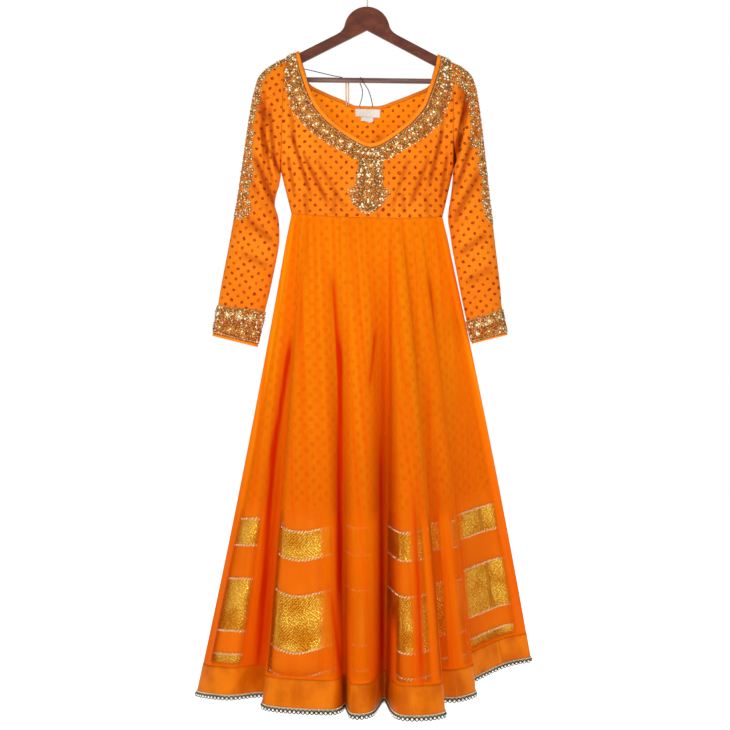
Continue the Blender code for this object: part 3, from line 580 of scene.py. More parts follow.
def write_layer(piece, label, values):
    """Writes one value on each point of a mesh, for its material."""
    layer = piece.data.attributes.new(label, "FLOAT", "POINT")
    layer.data.foreach_set("value", values.reshape(-1).astype(np.float32))


def shade_folds(piece, *amounts):
    """Writes how deep in a crease each point is, 0 to 1, as the fold layer from which the
    cloth's material paints shade into the creases.
    """
    write_layer(piece, "fold", np.clip(-sum(amounts) / CREASE_SHADE, 0, 1))


def front_form(shares, steps=14):
    """Front of the bodice at shares 0 neck, 1 binding, 2 border, 3 outline."""
    stops, _ = front_stops(steps)
    flat = between(stops, shares)
    x, z = flat[..., 0], flat[..., 1]
    depth = SEAM_GAP / 2 + bodice_depth(x, z, CHEST_DEPTH_FRONT)
    bust = bell(x, -0.078, 0.050) * bell(z, -0.385, 0.055)
    bust = bust + bell(x, 0.084, 0.050) * bell(z, -0.388, 0.055)
    grid = np.stack([x, -depth - 0.0050 * bust, z], axis=-1)
    return creased(grid, FRONT_CREASES)


def back_form(shares, steps=14):
    """Back of the bodice at shares 0 neck, 1 band, 2 outline, facing backwards."""
    flat = between(back_stops(steps), shares)
    x, z = flat[..., 0], flat[..., 1]
    depth = SEAM_GAP / 2 + bodice_depth(x, z, CHEST_DEPTH_BACK)
    return creased(np.stack([x, depth, z], axis=-1), BACK_CREASES)


SLEEVE_LEFT_CREASES = (
    (-0.2120, -0.262, -0.2140, -0.350, 0.0030, 0.0034),
    (-0.2140, -0.330, -0.2050, -0.395, 0.0030, 0.0046),
    (-0.2060, -0.378, -0.1830, -0.430, 0.0034, 0.0062),
    (-0.203, -0.300, -0.190, -0.425, 0.0050, 0.0044),
    (-0.222, -0.330, -0.196, -0.450, 0.0048, 0.0040),
    (-0.214, -0.320, -0.194, -0.436, 0.0040, -0.0050),
    (-0.236, -0.395, -0.192, -0.500, 0.0063, 0.0048),
    (-0.242, -0.480, -0.190, -0.545, 0.0072, -0.0036),
    (-0.250, -0.530, -0.196, -0.575, 0.0072, 0.0036),
    (-0.262, -0.600, -0.206, -0.628, 0.0072, 0.0028),
    (-0.230, -0.255, -0.212, -0.330, 0.0072, 0.0042),
    (-0.284, -0.640, -0.222, -0.668, 0.0072, -0.0025),
    (-0.252, -0.430, -0.224, -0.480, 0.0063, 0.0025),
)
SLEEVE_RIGHT_CREASES = (
    (0.2060, -0.300, 0.1900, -0.372, 0.0032, 0.0056),
    (0.1960, -0.352, 0.1760, -0.424, 0.0034, 0.0056),
    (0.214, -0.250, 0.184, -0.400, 0.0067, 0.0078),
    (0.222, -0.280, 0.190, -0.430, 0.0054, -0.0050),
    (0.232, -0.330, 0.184, -0.470, 0.0063, 0.0050),
    (0.236, -0.430, 0.182, -0.530, 0.0072, 0.0042),
    (0.244, -0.500, 0.186, -0.560, 0.0072, -0.0034),
    (0.250, -0.560, 0.194, -0.600, 0.0072, 0.0034),
    (0.262, -0.630, 0.206, -0.660, 0.0072, 0.0025),
    (0.204, -0.235, 0.192, -0.290, 0.0072, 0.0034),
)


def sleeve_form(sections, right, creases, steps=7, side_points=30):
    """Rings from the armhole to the wrist, each down its front from the outer line to the
    underarm line and up its back: half its depth times twice the root of t(1-t)."""
    side = 1 if right else -1
    reach, tip_z = armhole_tip(np.bool_(right))
    first = (side * (reach + SEAM_GAP), tip_z, side * (UNDERARM_HALF + SEAM_GAP), UNDERARM_Z,
             ARMHOLE_DEPTH, sections[0][5], 0.0)
    table = spline(np.array((first, *sections), dtype=float), steps)
    places = (1 - np.cos(np.linspace(0, math.pi, side_points + 1))) / 2
    down = places[None, :]
    outer, under = table[:, None, 0:2], table[:, None, 2:4]
    line = outer + (under - outer) * down[..., None]
    bulge = 2 * np.sqrt(down * (1 - down)) * table[:, 4:5]
    armhole = armhole_depth(line[0, :, 0] - side * SEAM_GAP, line[0, :, 1])
    leave = np.clip(np.arange(len(table)) / steps, 0, 1)[:, None]
    bulge = armhole * (1 - leave) + bulge * leave
    crease = table[:, 6:7] * np.exp(-((down - table[:, 5:6]) / CREASE_WIDTH) ** 2) * leave
    front_depth = np.where(down * (1 - down) > 0, bulge - crease, 0.0)
    front = np.stack([line[..., 0], -front_depth, line[..., 1]], axis=-1)
    back = np.stack([line[..., 0], bulge, line[..., 1]], axis=-1)[:, -2:0:-1]
    if right:
        front, back = front[:, ::-1], back[:, ::-1]
    grid = np.concatenate([front, back], axis=1)
    grid = creased(grid, creases, ring=True, facing=-1)
    return creased(grid, behind(creases), ring=True, facing=1)


def behind(creases):
    """The back's share of a sleeve's creases: every other one, moved a little."""
    return [(x0 * 0.99, z0 - 0.03, x1 * 1.01, z1 - 0.02, width, depth * 0.8)
            for x0, z0, x1, z1, width, depth in creases[::2]]


def inward_mitres(places):
    """For each corner of a closed outline, the way that moves both its sides in by 1."""
    side = np.roll(places, -1, axis=0) - places
    square = np.stack([-side[:, 1], side[:, 0]], axis=-1)
    square /= np.linalg.norm(square, axis=1, keepdims=True)
    before = np.roll(square, 1, axis=0)
    share = 1 + np.sum(square * before, axis=1, keepdims=True)
    return (square + before) / np.maximum(share, MITRE_LIMIT)


def hem_knots(tuck):
    """The hem's crests and valleys: x, y, lift and seat at the waist, drawn in by the tuck."""
    table = np.array(SKIRT_FOLDS)
    before = np.concatenate([[FIRST_SEAT], table[:-1, 8]])
    third = (table[:, 8] - before) / 3
    starts = np.stack([table[:, 0], table[:, 1], table[:, 4], before + third], -1)
    ends = np.stack([table[:, 2], table[:, 3], table[:, 5], before + 2 * third], -1)
    valleys = np.stack([table[:, 6], table[:, 7], (table[:, 4] + table[:, 5]) / 2,
                        table[:, 8]], -1)
    knots = np.stack([starts, ends, valleys], axis=1).reshape(-1, 4)
    knots[:, :2] += inward_mitres(knots[:, :2]) * tuck
    return knots


def ring_through(knots, steps_of_knot):
    """Closed Catmull-Rom curve through the knots, with the same count of points in each."""
    lap = np.array((0.0, 0.0, 0.0, 360.0))
    wide = np.vstack([knots[-1:] - lap, knots, knots[:2] + lap])
    slope = (wide[2:] - wide[:-2]) / 2
    points = []
    for index in range(len(knots)):
        steps = steps_of_knot[index % 3]
        t = (np.arange(steps) / steps)[:, None]
        points.append(hermite(wide[index + 1], wide[index + 2], slope[index],
                              slope[index + 1], t))
    return np.vstack(points)


def skirt_form(shares, tuck_waist=0.0, tuck_hem=0.0, gathers=0.0, seed=0.0):
    """Skirt: straight lines from the oval waist to the folded hem, cut at the shares of its
    length, one to each row or one to each point. gathers adds fine ripples that fade down
    the skirt, from a sum of five waves."""
    ring = ring_through(hem_knots(tuck_hem), FOLD_STEPS)
    seat = np.radians(ring[:, 3])
    waist_x = WAIST_HALF * np.sin(seat)
    waist_y = -WAIST_DEPTH * np.cos(seat)
    waist = np.stack([waist_x, waist_y, waist_height(waist_x, waist_y) - SEAM_GAP], axis=-1)
    waist[:, :2] += inward_mitres(waist[:, :2]) * tuck_waist
    hem = np.stack([ring[:, 0], ring[:, 1], HEM_Z + ring[:, 2]], axis=-1)
    share = np.array(shares)
    share = (share[:, None] if share.ndim == 1 else share)[..., None]
    grid = waist + (hem - waist) * share
    grid[..., 0:1] += SKIRT_SWAY * 4 * share * (1 - share)
    if gathers:
        place = np.linspace(0, 2 * math.pi, len(ring), endpoint=False)
        wave = np.zeros(len(ring))
        for count, weight, start in ((23, 1.0, 0.3), (37, 0.9, 1.9), (52, 0.7, 4.0),
                                     (71, 0.55, 2.2), (94, 0.4, 5.1)):
            wave += weight * np.sin(count * place + start + seed)
        fade = smooth(share[..., 0] / 0.06) * (0.28 + 0.72 * np.exp(-share[..., 0] * 2.6))
        grid = moved_out(grid, gathers * (wave - wave.min())[None, :] * fade / 4, ring=True)
    return grid


# Folds drawn as crisp lines of painted shade on the net, not pressed into its shape: from their
# upper to their lower end in x and z, with half their width and how dark the painted shade is.
NET_FOLD_SHADE_FRONT = (
    (-0.160, -0.780, -0.197, -1.040, 0.0065, 1.15),
    (-0.193, -0.980, -0.227, -1.460, 0.0062, 1.30),
    (-0.182, -1.020, -0.213, -1.440, 0.0040, 0.40),
    (-0.073, -0.640, -0.055, -0.850, 0.0075, 0.75),
    (-0.055, -0.800, -0.057, -1.330, 0.0062, 1.20),
    (-0.075, -1.280, -0.052, -1.460, 0.0040, 0.75),
    (0.0180, -0.760, 0.0040, -0.885, 0.0042, 0.90),
    (0.0270, -0.980, 0.0310, -1.470, 0.0048, 0.90),
    (0.0970, -1.080, 0.1080, -1.470, 0.0048, 0.90),
    (0.1260, -0.640, 0.1640, -0.880, 0.0060, 0.75),
    (0.1600, -0.840, 0.1960, -1.130, 0.0060, 1.10),
    (0.1860, -1.060, 0.2190, -1.440, 0.0060, 1.10),
    (-0.124, -0.540, -0.142, -0.800, 0.0060, 0.40),
    (0.0560, -0.600, 0.0800, -1.000, 0.0050, 0.30),
)
NET_FOLD_SHADE_BACK = (
    (-0.150, -0.700, -0.205, -1.440, 0.0055, 0.80),
    (-0.070, -0.620, -0.085, -1.000, 0.0060, 0.60),
    (-0.020, -0.860, -0.030, -1.460, 0.0050, 0.90),
    (0.0500, -0.640, 0.0720, -1.100, 0.0060, 0.60),
    (0.1200, -0.760, 0.1560, -1.450, 0.0052, 0.85),
    (0.0020, -0.560, 0.0100, -0.820, 0.0050, 0.40),
)


def gore_cloth(grid):
    """Place on the flat cloth for a skirt: across from the middle of each fold's gore, and
    down from the waist. Each gore keeps its own print, as cut panels do."""
    u, v = run_along(grid)
    per_fold = sum(FOLD_STEPS)
    for fold in range(len(SKIRT_FOLDS)):
        span = slice(fold * per_fold, (fold + 1) * per_fold)
        middle = u[:, span].mean(axis=1, keepdims=True)
        u[:, span] = u[:, span] - middle + 0.37 * fold
    return u, np.broadcast_to(v.mean(axis=1, keepdims=True), v.shape).copy()


# ------------------------------------------------------------ materials

def light(red, green, blue):
    """A colour given as it looks on screen, 0 to 255, as the linear values shaders take."""
    values = np.array((red, green, blue)) / 255
    return tuple(np.where(values <= 0.04045, values / 12.92, ((values + 0.055) / 1.055) ** 2.4))


class Finish:
    """A material under construction: nodes are made and joined one after another."""

    def __init__(self, name, **sockets):
        self.material = bpy.data.materials.new(name)
        self.material.use_nodes = True
        self.tree = self.material.node_tree
        self.shader = self.tree.nodes["Principled BSDF"]
        for socket, value in sockets.items():
            self.shader.inputs[socket.replace("_", " ")].default_value = value

    def node(self, kind, inputs=(), **settings):
        """A node with its settings and its inputs, each a value or another node's output."""
        return add_node(self.tree, kind, inputs, **settings)

    def group(self, tree, inputs=()):
        """A node that holds a group."""
        return add_node(self.tree, "ShaderNodeGroup", inputs, node_tree=tree)

    def join(self, output, socket):
        """Links a value to one of the surface's own settings."""
        self.tree.links.new(output, self.shader.inputs[socket])

    def cloth_place(self):
        """The place on the flat cloth, in metres."""
        return self.node("ShaderNodeUVMap", uv_map="cloth").outputs["UV"]

    def body_place(self):
        """The place in the piece's own frame, in metres."""
        return self.node("ShaderNodeTexCoord").outputs["Object"]

    def noise(self, vector, scale, detail=2.0):
        """Plain noise, the same along each axis."""
        node = self.node("ShaderNodeTexNoise", {"Vector": vector, "Scale": scale,
                                                "Detail": detail})
        return node.outputs["Fac"]

    def drawn_noise(self, vector, scale, detail, turn=0.0):
        """Noise with its own scale along each axis, turned about the third."""
        drawn = self.node("ShaderNodeMapping", {"Vector": vector, "Rotation": (0.0, 0.0, turn),
                                                "Scale": scale})
        return self.noise(drawn.outputs[0], 1.0, detail)

    def attribute(self, name):
        """A value written on the mesh's points."""
        return self.node("ShaderNodeAttribute", attribute_name=name).outputs["Fac"]

    def axes(self, vector):
        """A place's three numbers apart."""
        return self.node("ShaderNodeSeparateXYZ", (vector,)).outputs

    def blend(self, share, first, second, how="MIX"):
        """Two colours mixed by a share from 0 to 1."""
        node = self.node("ShaderNodeMix", data_type="RGBA", blend_type=how)
        for socket, value in ((0, share), (6, first), (7, second)):
            plug(self.tree, node.inputs[socket], value)
        return node.outputs[2]

    def maths(self, operation, *values):
        node = self.node("ShaderNodeMath", operation=operation)
        for socket, value in zip(node.inputs, values):
            plug(self.tree, socket, value)
        return node.outputs[0]

    def span(self, value, low, high, to_low=0.0, to_high=1.0):
        """The value between low and high spread over a new range, smoothly."""
        node = self.node("ShaderNodeMapRange", {0: value, 1: low, 2: high, 3: to_low, 4: to_high},
                         interpolation_type="SMOOTHSTEP")
        return node.outputs[0]

    def bump(self, height, strength, distance=0.001):
        """Small relief from a height."""
        node = self.node("ShaderNodeBump", {"Height": height, "Strength": strength,
                                            "Distance": distance})
        self.join(node.outputs[0], "Normal")


def plug(tree, socket, value):
    """Joins an output to a socket, or sets the socket's own value."""
    if isinstance(value, bpy.types.NodeSocket):
        tree.links.new(value, socket)
    elif isinstance(value, tuple) and len(value) == 3 and socket.type == "RGBA":
        socket.default_value = (*value, 1.0)
    else:
        socket.default_value = value


def add_node(tree, kind, inputs=(), **settings):
    """A node with its settings, and its inputs by name or in order."""
    node = tree.nodes.new(kind)
    for name, value in settings.items():
        setattr(node, name, value)
    pairs = inputs.items() if isinstance(inputs, dict) else enumerate(inputs)
    for name, value in pairs:
        plug(tree, node.inputs[name], value)
    return node


def new_group(name, inputs, outputs):
    """An empty node group with named number or vector inputs and outputs."""
    tree = bpy.data.node_groups.new(name, "ShaderNodeTree")
    for label, kind in inputs:
        tree.interface.new_socket(label, in_out="INPUT", socket_type=kind)
    for label, kind in outputs:
        tree.interface.new_socket(label, in_out="OUTPUT", socket_type=kind)
    start = tree.nodes.new("NodeGroupInput")
    end = tree.nodes.new("NodeGroupOutput")
    return tree, start.outputs, end.inputs


NUMBER, VECTOR = "NodeSocketFloat", "NodeSocketVector"


def block_print_group():
    """Mask of a hand-printed dot pattern: two square lattices half a step apart, each dot a
    little out of place and out of round, as a block leaves it."""
    tree, given, wanted = new_group(
        "block print", (("Place", VECTOR), ("Step", NUMBER), ("Radius", NUMBER)),
        (("Mask", NUMBER),))

    def maths(operation, *values):
        return add_node(tree, "ShaderNodeMath", values, operation=operation).outputs[0]

    noise = add_node(tree, "ShaderNodeTexNoise", {"Vector": given["Place"], "Scale": 90.0,
                                                  "Detail": 1.0})
    centred = add_node(tree, "ShaderNodeVectorMath", (noise.outputs["Color"], (0.5, 0.5, 0.5)),
                       operation="SUBTRACT").outputs[0]
    push = add_node(tree, "ShaderNodeVectorMath", {0: centred, "Scale": 0.0064},
                    operation="SCALE").outputs[0]
    place = add_node(tree, "ShaderNodeVectorMath", (given["Place"], push),
                     operation="ADD").outputs[0]
    axes = add_node(tree, "ShaderNodeSeparateXYZ", (place,)).outputs
    nearest = None
    for shift in (0.0, 0.5):
        square = []
        for axis in (0, 1):
            steps = maths("ADD", maths("DIVIDE", axes[axis], given["Step"]), shift)
            off = maths("MULTIPLY", maths("SUBTRACT", maths("FRACT", steps), 0.5), given["Step"])
            square.append(maths("MULTIPLY", off, off))
        distance = maths("SQRT", maths("ADD", *square))
        nearest = distance if nearest is None else maths("MINIMUM", nearest, distance)
    inside = maths("SUBTRACT", 1.0, maths("DIVIDE", nearest, given["Radius"]))
    edge = add_node(tree, "ShaderNodeMapRange", {0: inside, 1: -0.12, 2: 0.22},
                    interpolation_type="SMOOTHSTEP").outputs[0]
    tree.links.new(edge, wanted["Mask"])
    return tree


def weave_group():
    """Height of a plain weave: threads across and down, each a row of soft ridges."""
    tree, given, wanted = new_group("weave", (("Place", VECTOR), ("Threads", NUMBER)),
                                    (("Height", NUMBER),))
    scaled = add_node(tree, "ShaderNodeVectorMath", {0: given["Place"], "Scale": given["Threads"]},
                      operation="SCALE").outputs[0]
    axes = add_node(tree, "ShaderNodeSeparateXYZ", (scaled,)).outputs
    waves = [add_node(tree, "ShaderNodeMath", (axes[axis],), operation="SINE").outputs[0]
             for axis in (0, 1)]
    height = add_node(tree, "ShaderNodeMath", waves, operation="MULTIPLY").outputs[0]
    tree.links.new(height, wanted["Height"])
    return tree


BLOCK_PRINT = block_print_group()
WEAVE = weave_group()


def printed_cloth(name, step, radius, dot_colour, first, second, foot=None, strength=1.0,
                  painted_glow=0.0):
    """Cotton with small brown dots printed on it, down to a foot if one is given, and a deep
    red painted shade in its creases from the fold layer. glow is painted light: the cloth
    gives off its own colour, as if light came through it."""
    cloth = Finish(name, Roughness=0.75, Specular_IOR_Level=0.08, Emission_Strength=painted_glow)
    place = cloth.cloth_place()
    broad = cloth.noise(cloth.body_place(), 9.0, 3.0)
    base = cloth.blend(cloth.span(broad, 0.3, 0.7), first, second)
    fold = cloth.attribute("fold")
    # Painted shade: the fold layer darkens the cloth to a deep red in its creases.
    base = cloth.blend(cloth.maths("MULTIPLY", fold, 0.9), base, light(150, 34, 0))
    mask = cloth.group(BLOCK_PRINT, {"Place": place, "Step": step, "Radius": radius}).outputs[0]
    worn = cloth.span(cloth.noise(place, 60.0, 2.0), 0.32, 0.60, 0.42 * strength, strength)
    if foot is not None:
        down = cloth.axes(place)[1]
        mask = cloth.maths("MULTIPLY", mask, cloth.maths("LESS_THAN", down, foot))
    shown = cloth.blend(cloth.maths("MULTIPLY", mask, worn), base, dot_colour)
    cloth.join(shown, "Base Color")
    # Painted light: the cloth can give off its own shown colour as emission.
    if painted_glow:
        cloth.join(shown, "Emission Color")
    weave = cloth.group(WEAVE, {"Place": place, "Threads": THREADS_TO_METRE}).outputs[0]
    fine = cloth.noise(place, 260.0, 2.0)
    cloth.bump(cloth.maths("ADD", cloth.maths("MULTIPLY", weave, 0.3), fine), 0.22, 0.0006)
    return cloth.material


def plain_cloth(name, first, second, roughness=0.6):
    """Plain woven cloth with a slow change of tone."""
    cloth = Finish(name, Roughness=roughness, Specular_IOR_Level=0.12)
    place = cloth.cloth_place()
    tone = cloth.span(cloth.noise(cloth.body_place(), 24.0, 3.0), 0.3, 0.7)
    cloth.join(cloth.blend(tone, first, second), "Base Color")
    weave = cloth.group(WEAVE, {"Place": place, "Threads": THREADS_TO_METRE}).outputs[0]
    cloth.bump(cloth.maths("ADD", weave, cloth.noise(place, 300.0)), 0.2, 0.0005)
    return cloth.material


def net_cloth():
    """Sheer net: two thirds covering, with soft streaks where the tulle lies double. Its folds
    turn a deeper red, partly for the doubled net and partly as painted shade, and it gives
    off a faint painted light in its own colour.
    """
    cloth = Finish("orange net", Roughness=0.85, Specular_IOR_Level=0.03, Emission_Strength=0.07)
    place = cloth.cloth_place()
    streak = cloth.span(cloth.drawn_noise(place, (70.0, 1.6, 1.0), 4.0), 0.34, 0.66)
    base = cloth.blend(streak, light(246, 112, 0), light(255, 146, 2))
    low = cloth.span(cloth.axes(place)[1], 0.10, 0.90)
    base = cloth.blend(cloth.maths("MULTIPLY", low, 0.8), base, light(220, 82, 0))
    # The fold layer: deeper red where the net lies doubled, and painted shade in its folds.
    fold = cloth.attribute("fold")
    shown = cloth.blend(fold, base, light(196, 38, 0))
    cloth.join(shown, "Base Color")
    # Painted light: the net gives off its own colour faintly, as emission.
    cloth.join(shown, "Emission Color")
    close = cloth.attribute("close")
    cover = cloth.maths("ADD", close, cloth.span(streak, 0.0, 1.0, -0.06, 0.06))
    cloth.join(cloth.span(cover, 0.0, 1.0, 0.95, 0.20), "Alpha")
    cells = cloth.node("ShaderNodeTexVoronoi", {"Vector": place, "Scale": 620.0},
                       feature="DISTANCE_TO_EDGE").outputs["Distance"]
    cloth.bump(cells, 0.15, 0.0004)
    return cloth.material


def satin_cloth():
    """Satin of the hem: a soft gloss with fine slubs across it, and crumples that are raised
    and also painted into its colour as blotches of painted shade.
    """
    cloth = Finish("orange satin", Roughness=0.45, Specular_IOR_Level=0.06)
    place = cloth.cloth_place()
    slub = cloth.drawn_noise(place, (30.0, 700.0, 1.0), 2.0)
    rumple_and_shade = cloth.drawn_noise(place, (16.0, 11.0, 1.0), 4.0)
    # Painted shade: the crumples darken its colour in blotches.
    base = cloth.blend(cloth.span(rumple_and_shade, 0.34, 0.64), light(194, 88, 0), light(226, 116, 4))
    cloth.join(base, "Base Color")
    cloth.bump(cloth.maths("ADD", cloth.maths("MULTIPLY", slub, 0.2), rumple_and_shade), 0.5, 0.004)
    return cloth.material


def brocade():
    """Gold brocade: metal thread woven on the slant. Its colour is partly the slanting weave and
    partly painted light: a shaded gold and a bright glinting gold, mixed along the ribs and
    the painted glints, in broad lighter and darker patches. The glints also set its gloss and
    relief.
    """
    cloth = Finish("gold brocade", Roughness=0.36, Metallic=0.8)
    place = cloth.cloth_place()
    axes = cloth.axes(place)
    zigzag = cloth.maths("PINGPONG", axes[1], 0.030)
    slant = cloth.maths("MULTIPLY", cloth.maths("ADD", axes[0], zigzag), 1000.0)
    glints = cloth.span(cloth.drawn_noise(place, (230.0, 420.0, 1.0), 1.0, 0.9), 0.44, 0.60)
    rib = cloth.maths("MULTIPLY", cloth.maths("SINE", slant), 0.45)
    height = cloth.maths("ADD", rib, glints)
    tone = cloth.span(cloth.noise(place, 16.0, 4.0), 0.36, 0.64)
    # Painted light: shaded gold in the hollows, and painted glints of bright gold on the ribs.
    dark = cloth.blend(tone, light(138, 74, 0), light(196, 136, 4))
    painted_glint_gold = cloth.blend(tone, light(240, 176, 12), light(255, 238, 96))
    cloth.join(cloth.blend(cloth.span(height, -0.1, 1.1), dark, painted_glint_gold), "Base Color")
    cloth.join(cloth.span(glints, 0.0, 1.0, 0.46, 0.26), "Roughness")
    cloth.bump(height, 0.6, 0.0008)
    return cloth.material


def embroidery_ground():
    """Ground of dense embroidery: couched metal thread in small cells, tones of old gold,
    copper and coral."""
    cloth = Finish("embroidery ground", Roughness=0.45, Metallic=0.35)
    place = cloth.cloth_place()
    cells = cloth.node("ShaderNodeTexVoronoi", {"Vector": place, "Scale": 380.0})
    edges = cloth.node("ShaderNodeTexVoronoi", {"Vector": place, "Scale": 380.0},
                       feature="DISTANCE_TO_EDGE").outputs["Distance"]
    tone = cloth.axes(cells.outputs["Color"])
    base = cloth.blend(cloth.span(tone[0], 0.30, 0.62), light(206, 104, 24), light(236, 132, 44))
    base = cloth.blend(cloth.span(tone[1], 0.72, 0.78), base, light(150, 92, 24))
    base = cloth.blend(cloth.span(tone[2], 0.82, 0.88), base, light(246, 214, 140))
    base = cloth.blend(cloth.span(edges, 0.02, 0.16, 0.75, 0.0), base, light(150, 62, 8))
    cloth.join(base, "Base Color")
    cloth.join(cloth.span(tone[0], 0.1, 0.9, 0.26, 0.6), "Roughness")
    cloth.bump(cloth.span(edges, 0.0, 0.3), 0.8, 0.0012)
    return cloth.material


def tinted(name, roughness, metallic, specular=0.5, coat=0.0):
    """Beads, stones and sequins: each copy carries its own tint."""
    finish = Finish(name, Roughness=roughness, Metallic=metallic, Specular_IOR_Level=specular,
                    Coat_Weight=coat)
    tint = finish.node("ShaderNodeVertexColor", layer_name="tint").outputs["Color"]
    fleck = finish.noise(finish.body_place(), 900.0, 1.0)
    finish.join(finish.blend(finish.span(fleck, 0.3, 0.7, 0.0, 0.35), tint,
                             finish.blend(1.0, tint, (0.75, 0.68, 0.6), how="MULTIPLY")),
                "Base Color")
    return finish.material


def dark_wood():
    """Stained and lacquered wood: long grain with finer pores, a little gloss."""
    wood = Finish("dark wood", Roughness=0.5, Specular_IOR_Level=0.2, Coat_Weight=0.06,
                  Coat_Roughness=0.3)
    figure = wood.drawn_noise(wood.body_place(), (30.0, 30.0, 60.0), 5.0)
    pores = wood.drawn_noise(wood.body_place(), (60.0, 700.0, 700.0), 2.0)
    base = wood.blend(wood.span(figure, 0.32, 0.68), light(84, 36, 20), light(112, 54, 30))
    base = wood.blend(wood.span(pores, 0.52, 0.7, 0.0, 0.55), base, light(44, 16, 10))
    wood.join(base, "Base Color")
    wood.join(wood.span(figure, 0.3, 0.7, 0.42, 0.56), "Roughness")
    wood.bump(pores, 0.12, 0.0004)
    return wood.material


def bar_wood():
    """The bar's paler, dusty stain."""
    wood = Finish("bar wood", Roughness=0.5)
    figure = wood.drawn_noise(wood.body_place(), (10.0, 160.0, 160.0), 4.0)
    wood.join(wood.blend(wood.span(figure, 0.3, 0.7), light(92, 60, 52), light(128, 96, 84)),
              "Base Color")
    wood.bump(figure, 0.15, 0.0004)
    return wood.material


def steel_wire():
    """Plated wire with faint drawing marks along it."""
    wire = Finish("steel wire", Roughness=0.24, Metallic=1.0)
    marks = wire.drawn_noise(wire.body_place(), (900.0, 900.0, 120.0), 2.0)
    wire.join(wire.blend(wire.span(marks, 0.3, 0.7), light(168, 166, 164), light(214, 212, 208)),
              "Base Color")
    wire.join(wire.span(marks, 0.3, 0.7, 0.18, 0.34), "Roughness")
    return wire.material


# ------------------------------------------------------------ camera, light and floor

def set_camera():
    """Level camera in front, 3 m away, that takes in 1.53 m at the hanger's plane."""
    bpy.context.scene.view_settings.view_transform = "Standard"
    data = bpy.data.cameras.new("camera")
    data.lens = CAMERA_LENS
    data.sensor_width = CAMERA_SENSOR
    camera = placed("camera", data)
    camera.location = CAMERA_PLACE
    camera.rotation_euler = (math.radians(90), 0.0, 0.0)
    bpy.context.scene.camera = camera


def soft_lamp(name, place, target, size, power):
    """A square area lamp that faces its target."""
    data = bpy.data.lights.new(name, "AREA")
    data.size = size
    data.energy = power
    lamp = placed(name, data)
    way = np.array(place) - np.array(target)
    turn = math.atan2(way[0], -way[1])
    tilt = math.atan2(math.hypot(way[0], way[1]), way[2])
    lamp.location = place
    lamp.rotation_euler = (tilt, 0.0, turn)


def set_stage():
    """A plain pale floor under the gown, wide on all sides."""
    x, y = np.meshgrid((-FLOOR_REACH, FLOOR_REACH), (FLOOR_REACH, -FLOOR_REACH))
    paper = Finish("pale floor", Roughness=0.9, Emission_Strength=0.8)
    grain = paper.noise(paper.body_place(), 3.0, 2.0)
    white = paper.blend(paper.span(grain, 0.3, 0.7), (0.93, 0.93, 0.93), (0.95, 0.95, 0.95))
    paper.join(white, "Base Color")
    paper.join(white, "Emission Color")
    grid = np.stack([x, y, np.full(x.shape, FLOOR_Z)], axis=-1)
    sheet_mesh("pale_floor", grid, paper.material)


def set_light():
    """Even studio light, a little stronger from the front and the upper left. The room is
    plain white where it is seen, and its light on the gown is softer."""
    world = bpy.data.worlds.new("studio")
    bpy.context.scene.world = world
    world.use_nodes = True
    nodes, links = world.node_tree.nodes, world.node_tree.links
    room, seen = nodes["Background"], nodes.new("ShaderNodeBackground")
    for background, strength in ((room, ROOM_LIGHT), (seen, 1.0)):
        background.inputs["Color"].default_value = (1.0, 1.0, 1.0, 1.0)
        background.inputs["Strength"].default_value = strength
    mixed, path = nodes.new("ShaderNodeMixShader"), nodes.new("ShaderNodeLightPath")
    links.new(path.outputs["Is Camera Ray"], mixed.inputs[0])
    links.new(room.outputs[0], mixed.inputs[1])
    links.new(seen.outputs[0], mixed.inputs[2])
    links.new(mixed.outputs[0], nodes["World Output"].inputs["Surface"])
    soft_lamp("key", (-1.7, -2.7, 0.7), (0.0, 0.0, -0.8), 1.4, 28.0)
    soft_lamp("front", (0.0, -3.4, -0.25), (0.0, 0.0, -0.35), 0.8, 25.0)
    soft_lamp("fill", (1.8, -2.6, -0.2), (0.0, 0.0, -0.8), 2.0, 8.0)
    soft_lamp("rear", (0.8, 3.0, 0.4), (0.0, 0.0, -0.8), 2.0, 22.0)


# ------------------------------------------------------------ threads and hanger

def make_thread(name, route, material):
    """A thin thread along its route, tied at both ends."""
    line = spline(route, THREAD_STEPS)
    curve = bpy.data.curves.new(name + "_tied", "CURVE")
    curve.dimensions = "3D"
    curve.bevel_depth = THREAD_RADIUS
    curve.bevel_resolution = 2
    curve.use_fill_caps = True
    strand = curve.splines.new("POLY")
    strand.points.add(len(line) - 1)
    strand.points.foreach_set("co", np.column_stack([line, np.ones(len(line))]).reshape(-1))
    curve.materials.append(material)
    piece = placed(name + "_tied", curve)
    dress(piece, "thread", name)


def make_threads():
    """Both threads, in grey twine."""
    twine = Finish("grey thread", Roughness=0.8)
    tone = twine.noise(twine.body_place(), 1200.0)
    twine.join(twine.blend(twine.span(tone, 0.3, 0.7), light(36, 30, 26), light(66, 56, 50)),
               "Base Color")
    make_thread("thread_left", THREAD_LEFT_ROUTE, twine.material)
    make_thread("thread_back", THREAD_BACK_ROUTE, twine.material)


def finish_hanger():
    """Better surfaces for the hanger's wood and wire, on the solids themselves."""
    for node, material in (("hanger_yoke", dark_wood()), ("hanger_bar", bar_wood()),
                           ("hanger_hook", steel_wire())):
        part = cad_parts[node]
        part.data.materials.clear()
        part.data.materials.append(material)


# ------------------------------------------------------------ bodice

PANEL_STEPS = 18     # steps between two stations of a bodice panel
BAND_RISE = 0.0014   # how far a sewn-on band stands out in its middle
NECK_PITCH = 0.0212  # from one flower of the neck border to the next


def bodice_cloth(grid):
    """Place on the flat cloth for the bodice: the panel as it lies flat on a table."""
    return grid[..., 0] + 0.5, -grid[..., 2]


